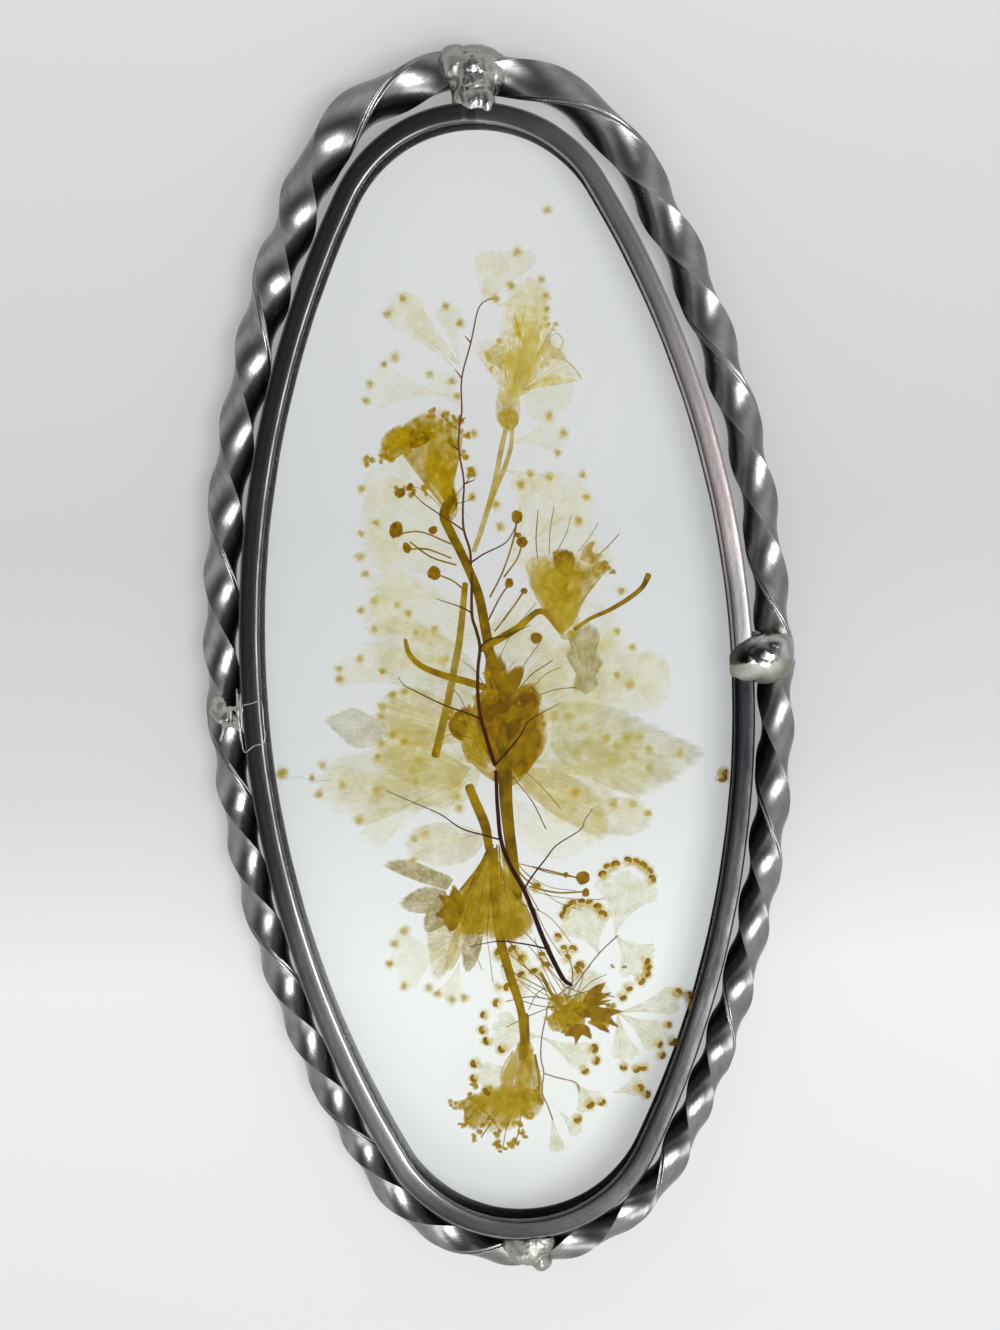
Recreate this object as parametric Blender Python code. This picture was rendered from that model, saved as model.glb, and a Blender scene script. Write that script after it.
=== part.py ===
"""Pressed flower frame: an oval of two glass panes in a metal rim, edged by a twisted bar that is
soldered on at four points, with dried fern and flowers pressed flat between the panes.

The frame lies on its back: +X to the right, +Y towards the top joint, +Z up towards the viewer.
"""
import math

import bmesh
import bpy

COLLECTION = "pressed_flower_frame"

# Lengths are in millimetres, and MM turns them into metres.
MM = 0.001
WELD_DISTANCE = 0.001 * MM
CUT_OVERSHOOT = 1.0

# Opening between the rim's lips: an oval of four arcs, with R found from the other three.
HALF_LENGTH = 55.7
HALF_WIDTH = 24.0
END_RADIUS = 13.4
SIDE_RADIUS = ((HALF_WIDTH ** 2 + (HALF_LENGTH - END_RADIUS) ** 2 - END_RADIUS ** 2)
               / (2 * (HALF_WIDTH - END_RADIUS)))
SIDE_ANGLE = math.atan2(HALF_LENGTH - END_RADIUS, SIDE_RADIUS - HALF_WIDTH)
END_ARC = END_RADIUS * (math.pi / 2 - SIDE_ANGLE)
SIDE_ARC = SIDE_RADIUS * SIDE_ANGLE
PERIMETER = 4 * (END_ARC + SIDE_ARC)

# U-shaped metal rim round the panes.
RIM_WIDTH = 2.1
RIM_DEPTH = 6.4
LIP = 0.6
WEB = 0.55
OVAL_STEPS = 56

# Two panes with a thin space between them.
PANE_CLEARANCE = 0.2
PANE_EDGE_CLEARANCE = 0.15
PANE_THICKNESS = 1.9
BACK_PANE_LOW = LIP + PANE_CLEARANCE
BACK_PANE_HIGH = BACK_PANE_LOW + PANE_THICKNESS
FRONT_PANE_HIGH = RIM_DEPTH - LIP - PANE_CLEARANCE
FRONT_PANE_LOW = FRONT_PANE_HIGH - PANE_THICKNESS
PANE_EDGE = RIM_WIDTH - WEB - PANE_EDGE_CLEARANCE

# Pressed pieces lie in thin layers, counted from the back pane.
LAYERS = 5
LAYER_PITCH = 0.185
LAYER_THICKNESS = 0.1
LAYER_CLEARANCE = 0.09
FIRST_LAYER = BACK_PANE_HIGH + LAYER_CLEARANCE
BLADE_THICKNESS = 0.08

# Twisted border: a three-edged bar. One of its edges is a blunt seam, which faces the viewer
# at these distances round the opening, clockwise from the top.
SEAM_TO_FRONT = (9.6, 35.4, 59.5, 81.3, 100.6, 117.9, 133.6, 149.8, 168.7, 187.7, 208.9, 232.2, 254.2)
BORDER_START = 1.2
BORDER_END = PERIMETER - BORDER_START
BORDER_HEIGHT = 3.2
BORDER_STEPS_A_TURN = 16
# Distance round the opening, distance of the bar's middle out from the opening, bar radius.
BORDER_TRACK = (
    (0.0, 5.6, 2.35), (20.0, 5.4, 2.3), (41.0, 4.9, 2.1), (59.0, 4.45, 2.0), (77.0, 4.3, 1.95),
    (97.0, 4.2, 1.85), (113.0, 4.1, 1.72), (124.0, 3.9, 1.6), (144.0, 3.9, 1.6), (156.0, 4.05, 1.74),
    (180.0, 4.12, 1.86), (201.0, 4.25, 1.95), (222.0, 4.5, 2.1), (240.0, 5.0, 2.4), (252.0, 5.7, 2.6),
    (PERIMETER, 5.6, 2.35),
)
# The bar's section, as angle in degrees and share of the bar's radius.
SEAM_EDGE = ((-12, 0.98), (12, 0.98))
PLAIN_EDGES = ((120, 1.0), (240, 1.0))
FACE_MIDDLES = ((62, 0.67), (180, 0.67), (298, 0.67))

# Solder joints: lumps as centre and half sizes, before the bar and the rim are cut out of them.
SOLDER_GAP = 0.15
LUMP_SEGMENTS = 14
LUMP_RINGS = 8
SHARP_ANGLE = 50
SOLDER = {
    "solder_top": (((0.9, 61.2, 3.5), (4.3, 3.1, 3.2)), ((-0.5, 57.4, 5.6), (2.4, 2.4, 1.5))),
    "solder_right": (((27.2, 0.4, 4.5), (3.25, 2.65, 2.75)),),
    "solder_left": (((-28.2, -2.9, 3.9), (2.35, 3.1, 2.5)), ((-25.6, -3.4, 5.9), (2.0, 2.3, 1.1))),
    "solder_bottom": (((0.2, -59.0, 4.1), (2.7, 2.4, 2.7)),),
}

# Main stalk of the fern from its cut end upwards, as x, y and half width.
STALK_LOWER = ((5.9, -32.2, 0.28), (5.2, -31.6, 0.3), (4.3, -29.7, 0.3), (3.3, -27.2, 0.3),
               (2.4, -24.5, 0.28), (1.6, -22.2, 0.27), (0.3, -19.6, 0.25), (-0.5, -17.0, 0.23),
               (-0.6, -14.1, 0.21), (-0.7, -12.7, 0.2), (-0.7, -10.0, 0.2))
STALK_MIDDLE = ((-0.7, -9.3, 0.2), (-1.3, -7.0, 0.19), (-1.9, -4.4, 0.18), (-2.0, -2.0, 0.18),
                (-1.9, 0.6, 0.17), (-1.6, 2.8, 0.17), (-1.9, 4.7, 0.16), (-2.2, 6.3, 0.15),
                (-2.0, 10.4, 0.14))
STALK_UPPER = ((-1.95, 11.2, 0.13), (-2.1, 12.8, 0.13), (-2.6, 14.9, 0.12), (-2.6, 17.0, 0.11),
               (-2.3, 19.9, 0.1), (-2.6, 23.0, 0.1), (-2.1, 27.0, 0.09), (-2.0, 30.3, 0.08),
               (-0.8, 33.8, 0.08), (0.0, 37.0, 0.07), (1.6, 38.2, 0.07))
# Side branches, each from its own fork point on the stalk.
BRANCHES_LOWER = (
    ((3.7, -28.2), (1.6, -27.8), (-0.9, -27.4), (-4.3, -27.8)),
    ((1.6, -22.2), (2.5, -20.9), (3.9, -19.2), (5.2, -17.8), (7.6, -16.4), (9.1, -14.2)),
    ((-0.5, -17.0), (-4.4, -15.6), (-6.5, -14.1), (-9.0, -12.8), (-12.0, -11.3)),
)
BRANCHES_MIDDLE = (
    ((-0.7, -9.3), (0.7, -7.9), (2.2, -6.2), (3.1, -4.9), (6.3, -3.3)),
    ((-1.9, -4.4), (-3.3, -3.8), (-5.6, -2.9), (-8.3, -1.4), (-9.9, 0.0)),
    ((-1.6, 2.8), (-0.5, 3.6), (1.3, 3.9), (3.6, 4.8)),
    ((-2.2, 6.3), (-3.3, 7.0), (-5.7, 8.0)),
)
BRANCHES_UPPER = (
    ((-2.1, 12.8), (-0.7, 12.9), (1.4, 13.4), (2.3, 14.2), (2.9, 15.7)),
    ((-2.6, 14.9), (-4.0, 15.9), (-6.6, 17.8), (-7.9, 19.3)),
    ((-2.3, 19.9), (-1.2, 20.4)),
    ((-2.6, 23.0), (-3.6, 23.8)),
)
BRANCH_HALF_WIDTH = 0.08

# Fan-shaped leaflets: foot x and y, direction in degrees, length, half angle, layer.
LEAFLETS = (
    (0.4, 37.8, 69, 5.6, 22, 1), (2.0, 37.4, 13, 5.2, 26, 0), (-2.9, 31.6, 129, 9.0, 15, 0),
    (-2.2, 31.8, 98, 6.4, 13, 0), (-3.4, 28.6, 168, 8.6, 17, 1), (-4.5, 18.1, 167, 8.7, 15, 1),
    (-4.8, 13.5, 180, 8.5, 18, 0), (-5.3, 3.9, 158, 8.8, 17, 0), (-10.2, -0.5, 163, 6.5, 15, 1),
    (2.4, 23.4, 9, 5.9, 20, 0), (3.2, 14.6, 82, 5.7, 16, 0), (4.6, 13.6, 40, 7.8, 15, 1),
    (8.6, 8.4, 51, 5.4, 22, 0), (8.4, 0.9, 24, 5.6, 18, 1), (-3.6, -6.4, 156, 9.0, 20, 0),
    (-7.3, -10.6, -176, 11.5, 15, 1), (-6.3, -12.4, -160, 9.4, 14, 0), (-2.9, -16.4, -178, 6.4, 15, 1),
    (-6.4, -28.2, -172, 6.4, 34, 0), (-5.4, -29.4, -108, 4.4, 22, 1), (3.6, -9.4, 41, 7.0, 18, 1),
    (4.6, -10.6, 8, 10.4, 15, 0), (4.4, -12.4, -37, 7.7, 16, 0), (9.2, -15.0, 5, 5.6, 20, 1),
)
LEAFLET_FOOT = 0.14
LEAFLET_LOBES = 4
LEAFLET_NOTCH = 0.93

# Small fern sprig at the lower right: two stems from the same foot, and their leaflets.
SPRIG_HALF_WIDTH = 0.09
SPRIG_UPPER_STEMS = (
    ((6.5, -32.9), (8.7, -29.4), (10.7, -27.3)),
)
SPRIG_UPPER_LEAFLETS = ((10.7, -27.3, 75, 6.7, 34), (8.9, -29.2, 109, 5.3, 38), (10.65, -27.35, -51, 4.8, 33))
SPRIG_LOWER_STEMS = (
    ((5.6, -33.2), (3.6, -34.4), (3.1, -35.5), (2.6, -37.5), (2.4, -39.6), (2.6, -41.3), (2.3, -43.1),
     (2.8, -44.7), (3.3, -45.9)),
    ((2.6, -41.3), (3.9, -41.8), (5.8, -42.4)),
    ((5.6, -33.2), (8.3, -34.2), (10.6, -35.4)),
)
SPRIG_LOWER_LEAFLETS = (
    (10.5, -35.3, -85, 5.2, 18), (10.5, -35.35, 9, 6.7, 14), (10.5, -35.35, -34, 5.6, 20),
    (2.6, -37.5, -30, 5.6, 18), (5.7, -42.35, -55, 3.4, 30), (2.6, -37.5, 171, 5.3, 30),
    (2.55, -41.0, -178, 7.0, 12), (3.2, -45.7, -84, 3.9, 14),
)

# Flowers: outline of the head, with its stems as x, y and half width.
FLOWERS = {
    "flower_top": {
        "layer": 3, "colour": "straw",
        "head": ((-0.2, 33.6), (1.2, 35.2), (2.9, 35.2), (4.0, 36.6), (6.2, 37.4), (7.3, 35.8),
                 (8.4, 34.0), (10.1, 29.6), (7.0, 30.6), (5.1, 29.4), (3.9, 27.9), (4.0, 26.1),
                 (2.7, 24.7), (1.2, 26.2), (1.6, 28.0), (0.9, 30.6)),
        "stems": (((2.6, 25.6, 0.45), (1.9, 21.6, 0.5), (0.6, 18.2, 0.34), (-0.9, 14.2, 0.26)),),
    },
    "flower_upper_left": {
        "layer": 2, "colour": "ochre",
        "head": ((-10.6, 22.3), (-9.9, 24.6), (-8.0, 26.3), (-6.0, 27.4), (-3.6, 27.0), (-1.6, 25.4),
                 (-2.6, 23.4), (-4.1, 20.7), (-4.4, 17.6), (-5.6, 18.2), (-6.6, 20.6), (-8.2, 21.2)),
        "stems": (((-5.0, 19.0, 0.5), (-4.3, 15.9, 0.5), (-3.0, 12.8, 0.5), (-2.0, 10.1, 0.5),
                   (-1.2, 6.4, 0.5), (-0.8, 2.6, 0.5)),),
    },
    "flower_right": {
        "layer": 3, "colour": "ochre",
        "head": ((3.7, 11.5), (5.0, 12.6), (7.4, 13.2), (10.0, 12.0), (12.3, 10.6), (10.6, 9.0),
                 (9.7, 7.1), (8.4, 5.6), (7.3, 3.4), (6.2, 4.2), (5.4, 6.9), (4.2, 9.0)),
        "stems": (((7.0, 4.6, 0.4), (3.6, 3.6, 0.4), (1.0, 1.4, 0.42)),),
    },
    "flower_centre": {
        "layer": 3, "colour": "brown",
        "head": ((-1.1, -8.4), (-1.6, -4.6), (-1.6, -1.2), (0.4, -0.2), (3.2, -1.0), (4.8, -2.4),
                 (5.2, -5.4), (3.9, -8.6), (1.7, -10.8), (0.0, -10.2)),
        "stems": (((0.4, -9.7, 0.6), (0.8, -12.8, 0.6), (1.0, -16.0, 0.55), (1.0, -18.4, 0.5)),),
    },
    "flower_lower_left": {
        "layer": 3, "colour": "olive",
        "head": ((-12.1, -18.8), (-7.4, -20.6), (-3.0, -20.2), (-1.9, -16.9), (-0.7, -20.9),
                 (1.4, -23.1), (1.8, -25.8), (-1.1, -27.2), (-3.0, -30.4), (-4.4, -28.6),
                 (-7.4, -29.6), (-6.9, -26.0), (-10.7, -22.8), (-7.9, -22.6)),
        "stems": (((-0.6, -26.0, 0.5), (-0.2, -29.4, 0.45), (0.4, -32.7, 0.42), (0.8, -36.4, 0.42)),),
    },
    "flower_low_right": {
        "layer": 3, "colour": "brown",
        "head": ((3.8, -33.7), (6.3, -33.1), (8.8, -34.0), (10.1, -34.9), (8.7, -36.3), (6.6, -37.3),
                 (4.4, -36.8), (3.0, -35.5)),
        "stems": (((4.4, -35.2, 0.3), (2.4, -33.4, 0.25), (1.6, -31.4, 0.2)),),
    },
    "flower_bottom": {
        "layer": 2, "colour": "ochre",
        "head": ((-0.2, -37.2), (1.6, -37.6), (2.2, -41.1), (2.0, -44.8), (0.9, -47.6), (-1.7, -49.0),
                 (-4.7, -47.6), (-7.3, -44.4), (-5.0, -43.2), (-2.4, -42.3), (-1.4, -39.3)),
        "stems": (((0.6, -38.4, 0.5), (0.8, -35.4, 0.42), (0.3, -32.0, 0.4)),),
    },
}

# Loose petals as outlines with their layer.
PETALS = {
    "petal_large_right": (2, ((6.2, -3.9), (12.3, -4.1), (17.5, -6.6), (21.0, -9.0), (18.1, -11.9),
                              (14.9, -13.3), (10.0, -12.0), (6.3, -9.2))),
    "petal_left": (2, ((-18.1, -3.8), (-15.1, -2.6), (-12.3, -3.9), (-11.7, -6.3), (-15.3, -6.6))),
    "petal_right": (2, ((14.8, 1.6), (17.3, 0.6), (17.4, -2.0), (15.8, -3.7), (14.2, -2.0))),
    "petal_grey": (2, ((7.4, 3.0), (9.9, 4.6), (11.0, 3.0), (10.4, -1.1), (8.5, -2.2), (7.2, 0.1))),
}

# Bare stems, as x, y and half width.
STEMS = {
    "stem_left": (1, ((-2.8, 8.8, 0.38), (-3.6, 4.2, 0.38), (-4.2, 1.2, 0.38), (-5.3, -2.9, 0.4),
                      (-6.8, -8.0, 0.42))),
    "stem_short": (2, ((-2.9, -11.9, 0.5), (-2.0, -15.3, 0.5), (-1.8, -18.0, 0.5))),
    "stem_curved_right": (4, ((15.9, 9.2, 0.3), (15.2, 7.9, 0.26), (13.7, 6.8, 0.24),
                              (11.5, 5.7, 0.24), (8.4, 4.7, 0.24))),
    "stem_curved_left": (2, ((-9.0, 3.6, 0.26), (-8.8, 2.4, 0.3), (-7.4, 1.1, 0.34),
                             (-5.6, 0.2, 0.36), (-3.1, -0.7, 0.4), (0.0, -1.7, 0.4))),
}

# Bud sprigs: thin stalks, and the round buds at their ends as x, y and radius.
BUD_SPRIGS = {
    "buds_left": (3, (((-9.5, 15.2), (-6.2, 14.4), (-4.4, 12.6)), ((-8.5, 13.3), (-6.2, 12.3), (-4.4, 12.6)),
                      ((-5.9, 10.6), (-4.6, 10.2), (-4.4, 12.6))),
                  ((-9.5, 15.2, 0.8), (-8.5, 13.3, 0.5), (-5.9, 10.6, 0.75))),
    "buds_right": (2, (((2.9, 15.9), (2.2, 12.6), (0.4, 9.6)), ((3.3, 13.2), (2.2, 12.6)),
                       ((3.2, 8.3), (1.9, 8.6), (0.4, 9.6))),
                   ((2.9, 15.9, 0.65), (3.3, 13.2, 0.55), (3.2, 8.3, 0.45))),
    "buds_lower_right": (3, (((7.7, -21.3), (4.8, -20.6), (2.4, -19.4)), ((7.9, -22.9), (4.4, -22.6),
                              (2.4, -19.4))),
                         ((7.7, -21.3, 0.75), (7.9, -22.9, 0.4))),
}
BUD_STALK_HALF_WIDTH = 0.09
BUD_SIDES = 8

# Colour, metallic value and roughness.
FINISHES = {
    "zinc": ((0.10, 0.10, 0.11), 1.0, 0.42),
    "pewter": ((0.17, 0.17, 0.18), 1.0, 0.3),
    "solder": ((0.45, 0.45, 0.44), 1.0, 0.3),
    "glass": ((0.86, 0.92, 0.9), 0.0, 0.05),
    "stalk": ((0.035, 0.012, 0.01), 0.0, 0.6),
    "blade": ((0.62, 0.6, 0.42), 0.0, 0.7),
    "straw": ((0.55, 0.42, 0.09), 0.0, 0.7),
    "ochre": ((0.42, 0.27, 0.04), 0.0, 0.7),
    "brown": ((0.24, 0.11, 0.02), 0.0, 0.7),
    "olive": ((0.38, 0.28, 0.1), 0.0, 0.7),
    "petal": ((0.62, 0.6, 0.5), 0.0, 0.7),
}


def clear_scene():
    for old in list(bpy.data.objects):
        bpy.data.objects.remove(old, do_unlink=True)


def make_collections():
    """One collection holds the pieces, the other the shapes that cut them or are joined to them."""
    parts = bpy.data.collections.new(COLLECTION)
    cutters = bpy.data.collections.new("cutters")
    bpy.context.scene.collection.children.link(parts)
    bpy.context.scene.collection.children.link(cutters)
    return parts, cutters


def finish(name):
    material = bpy.data.materials.get(name)
    if material is None:
        colour, metallic, roughness = FINISHES[name]
        material = bpy.data.materials.new(name)
        material.use_nodes = True
        shader = material.node_tree.nodes["Principled BSDF"]
        shader.inputs["Base Color"].default_value = (*colour, 1.0)
        shader.inputs["Metallic"].default_value = metallic
        shader.inputs["Roughness"].default_value = roughness
    return material


def rim_point(distance, out=0.0):
    """Point at a distance round the opening, clockwise from the top, moved out from it."""
    distance = distance % PERIMETER
    half = PERIMETER / 2
    left = distance > half
    along = PERIMETER - distance if left else distance
    below = along > half / 2
    if below:
        along = half - along
    if along < END_ARC:
        angle = math.pi / 2 - along / END_RADIUS
        x = END_RADIUS * math.cos(angle)
        y = HALF_LENGTH - END_RADIUS + END_RADIUS * math.sin(angle)
    else:
        angle = SIDE_ANGLE - (along - END_ARC) / SIDE_RADIUS
        x = HALF_WIDTH - SIDE_RADIUS + SIDE_RADIUS * math.cos(angle)
        y = SIDE_RADIUS * math.sin(angle)
    x += out * math.cos(angle)
    y += out * math.sin(angle)
    return (-x if left else x), (-y if below else y)


def oval_outline(out):
    """Evenly placed points of the oval that lies a given distance outside the opening."""
    ends = OVAL_STEPS // 8
    arcs = [END_ARC * i / ends for i in range(ends)]
    arcs += [END_ARC + SIDE_ARC * i / ends for i in range(ends)]
    quarter = PERIMETER / 4
    stops = arcs + [2 * quarter - d for d in [quarter] + arcs[:0:-1]]
    stops += [2 * quarter + d for d in stops]
    return [rim_point(d, out) for d in stops]


def bake(obj):
    """Replace an object's curve or modifiers by the finished mesh, with its caps welded."""
    evaluated = obj.evaluated_get(bpy.context.evaluated_depsgraph_get())
    mesh = bpy.data.meshes.new_from_object(evaluated)
    work = bmesh.new()
    work.from_mesh(mesh)
    bmesh.ops.remove_doubles(work, verts=work.verts, dist=WELD_DISTANCE)
    bmesh.ops.recalc_face_normals(work, faces=work.faces)
    work.to_mesh(mesh)
    work.free()
    baked = bpy.data.objects.new(obj.name, mesh)
    baked.matrix_world = obj.matrix_world
    for home in obj.users_collection:
        home.objects.link(baked)
    name = obj.name
    bpy.data.objects.remove(obj, do_unlink=True)
    baked.name = name
    return baked


def slab(name, outline, low, high, home):
    """Flat plate with the given outline, between two heights."""
    curve = bpy.data.curves.new(name, "CURVE")
    curve.dimensions = "2D"
    curve.fill_mode = "BOTH"
    curve.extrude = (high - low) / 2 * MM
    spline = curve.splines.new("POLY")
    spline.points.add(len(outline) - 1)
    for point, (x, y) in zip(spline.points, outline):
        point.co = (x * MM, y * MM, 0, 1)
    spline.use_cyclic_u = True
    plate = bpy.data.objects.new(name, curve)
    home.objects.link(plate)
    plate.location.z = (low + high) / 2 * MM
    bpy.context.view_layer.update()
    return bake(plate)


def combine(obj, other, operation):
    """Boolean of two meshes; the second one is used up."""
    boolean = obj.modifiers.new(operation.lower(), "BOOLEAN")
    boolean.operation = operation
    boolean.object = other
    bpy.context.view_layer.update()
    result = bake(obj)
    bpy.data.objects.remove(other, do_unlink=True)
    return result


def largest_body(obj):
    """Keep the largest of the separate bodies that a cut has left."""
    work = bmesh.new()
    work.from_mesh(obj.data)
    unseen = set(work.verts)
    bodies = []
    while unseen:
        queue = [unseen.pop()]
        body = set(queue)
        while queue:
            for edge in queue.pop().link_edges:
                for vert in edge.verts:
                    if vert in unseen:
                        unseen.remove(vert)
                        body.add(vert)
                        queue.append(vert)
        bodies.append(body)
    bodies.sort(key=len)
    for body in bodies[:-1]:
        bmesh.ops.delete(work, geom=list(body), context="VERTS")
    work.to_mesh(obj.data)
    work.free()
    return obj


def rim(parts, cutters):
    """The U-shaped rim: an oval plate with the opening and the channel for the panes cut out."""
    body = slab("came_rim", oval_outline(RIM_WIDTH), 0, RIM_DEPTH, parts)
    opening = slab("opening", oval_outline(0), -CUT_OVERSHOOT, RIM_DEPTH + CUT_OVERSHOOT, cutters)
    body = combine(body, opening, "DIFFERENCE")
    channel = slab("channel", oval_outline(RIM_WIDTH - WEB), LIP, RIM_DEPTH - LIP, cutters)
    body = combine(body, channel, "DIFFERENCE")
    body.data.materials.append(finish("zinc"))


def panes(parts):
    for name, low, high in (("glass_back", BACK_PANE_LOW, BACK_PANE_HIGH),
                            ("glass_front", FRONT_PANE_LOW, FRONT_PANE_HIGH)):
        pane = slab(name, oval_outline(PANE_EDGE), low, high, parts)
        pane.data.materials.append(finish("glass"))


def smooth_between(rows, at):
    """Values of a table of rows at a place, eased from one row to the next."""
    for before, after in zip(rows, rows[1:]):
        if at <= after[0]:
            share = (at - before[0]) / (after[0] - before[0])
            ease = share * share * (3 - 2 * share)
            return [a + (b - a) * ease for a, b in zip(before[1:], after[1:])]
    return list(rows[-1][1:])


def turns_at(distance):
    """Turns made by the bar up to a distance, with whole turns where the seam faces the viewer."""
    marks = SEAM_TO_FRONT
    index = 0
    while index < len(marks) - 2 and distance > marks[index + 1]:
        index += 1
    return index + (distance - marks[index]) / (marks[index + 1] - marks[index])


def section_outline():
    corners = sorted(SEAM_EDGE + PLAIN_EDGES + FACE_MIDDLES)
    return [(share * math.sin(math.radians(angle)), share * math.cos(math.radians(angle)))
            for angle, share in corners]


def border_bar(name, home, grow):
    """The twisted bar, grown all round by a small amount where it serves as a cutter."""
    section = bpy.data.curves.new(name + "_section", "CURVE")
    section.dimensions = "2D"
    ring = section.splines.new("POLY")
    outline = section_outline()
    ring.points.add(len(outline) - 1)
    for point, (x, y) in zip(ring.points, outline):
        point.co = (x * MM, y * MM, 0, 1)
    ring.use_cyclic_u = True
    guide = bpy.data.objects.new(name + "_section", section)
    home.objects.link(guide)

    curve = bpy.data.curves.new(name, "CURVE")
    curve.dimensions = "3D"
    curve.twist_mode = "Z_UP"
    curve.bevel_mode = "OBJECT"
    curve.bevel_object = guide
    curve.use_fill_caps = True
    steps = round((turns_at(BORDER_END) - turns_at(BORDER_START)) * BORDER_STEPS_A_TURN)
    path = curve.splines.new("POLY")
    path.points.add(steps)
    stops = [BORDER_START + (BORDER_END - BORDER_START) * i / steps for i in range(steps + 1)]
    stops[0] -= grow
    stops[-1] += grow
    for point, distance in zip(path.points, stops):
        out, radius = smooth_between(BORDER_TRACK, distance)
        x, y = rim_point(distance, out)
        point.co = (x * MM, y * MM, BORDER_HEIGHT * MM, 1)
        point.radius = radius + grow
        point.tilt = -2 * math.pi * turns_at(distance)
    bar = bpy.data.objects.new(name, curve)
    home.objects.link(bar)
    bpy.context.view_layer.update()
    bar = bake(bar)
    bpy.data.objects.remove(guide, do_unlink=True)
    work = bmesh.new()
    work.from_mesh(bar.data)
    bmesh.ops.triangulate(work, faces=work.faces, quad_method="FIXED")
    work.to_mesh(bar.data)
    work.free()
    bar.data.shade_smooth()
    return bar


def lump(name, centre, half, home):
    """One rounded lump of solder."""
    mesh = bpy.data.meshes.new(name)
    work = bmesh.new()
    bmesh.ops.create_uvsphere(work, u_segments=LUMP_SEGMENTS, v_segments=LUMP_RINGS, radius=MM)
    bmesh.ops.scale(work, vec=half, verts=work.verts)
    bmesh.ops.translate(work, vec=[c * MM for c in centre], verts=work.verts)
    work.to_mesh(mesh)
    work.free()
    obj = bpy.data.objects.new(name, mesh)
    home.objects.link(obj)
    return obj


def solder_joints(parts, cutters):
    """Lumps over the bar and the rim, cut clear of both."""
    for name, lumps in SOLDER.items():
        body = lump(name, *lumps[0], parts)
        for centre, half in lumps[1:]:
            body = combine(body, lump("lump", centre, half, cutters), "UNION")
        wall = slab("rim_cutter", oval_outline(RIM_WIDTH + SOLDER_GAP), -CUT_OVERSHOOT,
                    RIM_DEPTH + SOLDER_GAP, cutters)
        body = combine(body, wall, "DIFFERENCE")
        body = combine(body, border_bar("bar_cutter", cutters, SOLDER_GAP), "DIFFERENCE")
        body = largest_body(body)
        body.data.materials.append(finish("solder"))
        body.data.shade_smooth()
        body.data.set_sharp_from_angle(angle=math.radians(SHARP_ANGLE))


def layer_middle(layer):
    return FIRST_LAYER + LAYER_PITCH * layer + LAYER_THICKNESS / 2


def strip_outline(points):
    """Outline of a flat stem that follows points given as x, y and half width."""
    left = []
    right = []
    for i, (x, y, half) in enumerate(points):
        before = points[max(i - 1, 0)]
        after = points[min(i + 1, len(points) - 1)]
        run = math.hypot(after[0] - before[0], after[1] - before[1])
        across = (-(after[1] - before[1]) / run * half, (after[0] - before[0]) / run * half)
        left.append((x + across[0], y + across[1]))
        right.append((x - across[0], y - across[1]))
    return left + right[::-1]


def flat_stems(name, stems, layer, home):
    """A flat main stem in a layer, with its side stems grown on."""
    middle = layer_middle(layer)
    half = LAYER_THICKNESS / 2
    body = slab(name, strip_outline(stems[0]), middle - half, middle + half, home)
    for stem in stems[1:]:
        body = combine(body, blade("side_stem", strip_outline(stem), layer, home), "UNION")
    return body


def fan_outline(x, y, direction, length, spread):
    """A leaflet: a narrow foot opening to a lobed arc."""
    aim = math.radians(direction)
    side = (-math.sin(aim) * LEAFLET_FOOT, math.cos(aim) * LEAFLET_FOOT)
    points = [(x + side[0], y + side[1]), (x - side[0], y - side[1])]
    steps = 2 * LEAFLET_LOBES
    for i in range(steps + 1):
        angle = math.radians(direction - spread + 2 * spread * i / steps)
        reach = length * (1.0 if i % 2 else LEAFLET_NOTCH)
        points.append((x + reach * math.cos(angle), y + reach * math.sin(angle)))
    return points


def blade(name, outline, layer, home):
    """Thin flat blade, petal or flower head in a layer."""
    middle = layer_middle(layer)
    return slab(name, outline, middle - BLADE_THICKNESS / 2, middle + BLADE_THICKNESS / 2, home)


def fern_stalk(parts):
    """The dark stalk, split where it forks."""
    front = LAYERS - 1
    for name, stalk, branches in (("fern_stalk_lower", STALK_LOWER, BRANCHES_LOWER),
                                  ("fern_stalk_middle", STALK_MIDDLE, BRANCHES_MIDDLE),
                                  ("fern_stalk_upper", STALK_UPPER, BRANCHES_UPPER)):
        twigs = [[(x, y, BRANCH_HALF_WIDTH) for x, y in branch] for branch in branches]
        obj = flat_stems(name, [stalk] + twigs, front, parts)
        obj.data.materials.append(finish("stalk"))


def fern_leaflets(parts):
    for number, (x, y, direction, length, spread, layer) in enumerate(LEAFLETS, 1):
        outline = fan_outline(x, y, direction, length, spread)
        leaflet = blade(f"fern_leaflet_{number:02d}", outline, layer, parts)
        leaflet.data.materials.append(finish("blade"))


def fern_sprig(parts, cutters):
    """The small sprig: stems with their leaflets grown on."""
    for name, stems, leaflets, layer in (
            ("fern_sprig_upper", SPRIG_UPPER_STEMS, SPRIG_UPPER_LEAFLETS, 2),
            ("fern_sprig_lower", SPRIG_LOWER_STEMS, SPRIG_LOWER_LEAFLETS, 1)):
        widths = [[(x, y, SPRIG_HALF_WIDTH) for x, y in stem] for stem in stems]
        sprig = flat_stems(name, widths, layer, parts)
        for leaflet in leaflets:
            sprig = combine(sprig, blade("leaflet", fan_outline(*leaflet), layer, cutters), "UNION")
        sprig.data.materials.append(finish("blade"))


def flowers(parts, cutters):
    for name, flower in FLOWERS.items():
        body = flat_stems(name, flower["stems"], flower["layer"], parts)
        body = combine(body, blade("head", flower["head"], flower["layer"], cutters), "UNION")
        body.data.materials.append(finish(flower["colour"]))


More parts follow.
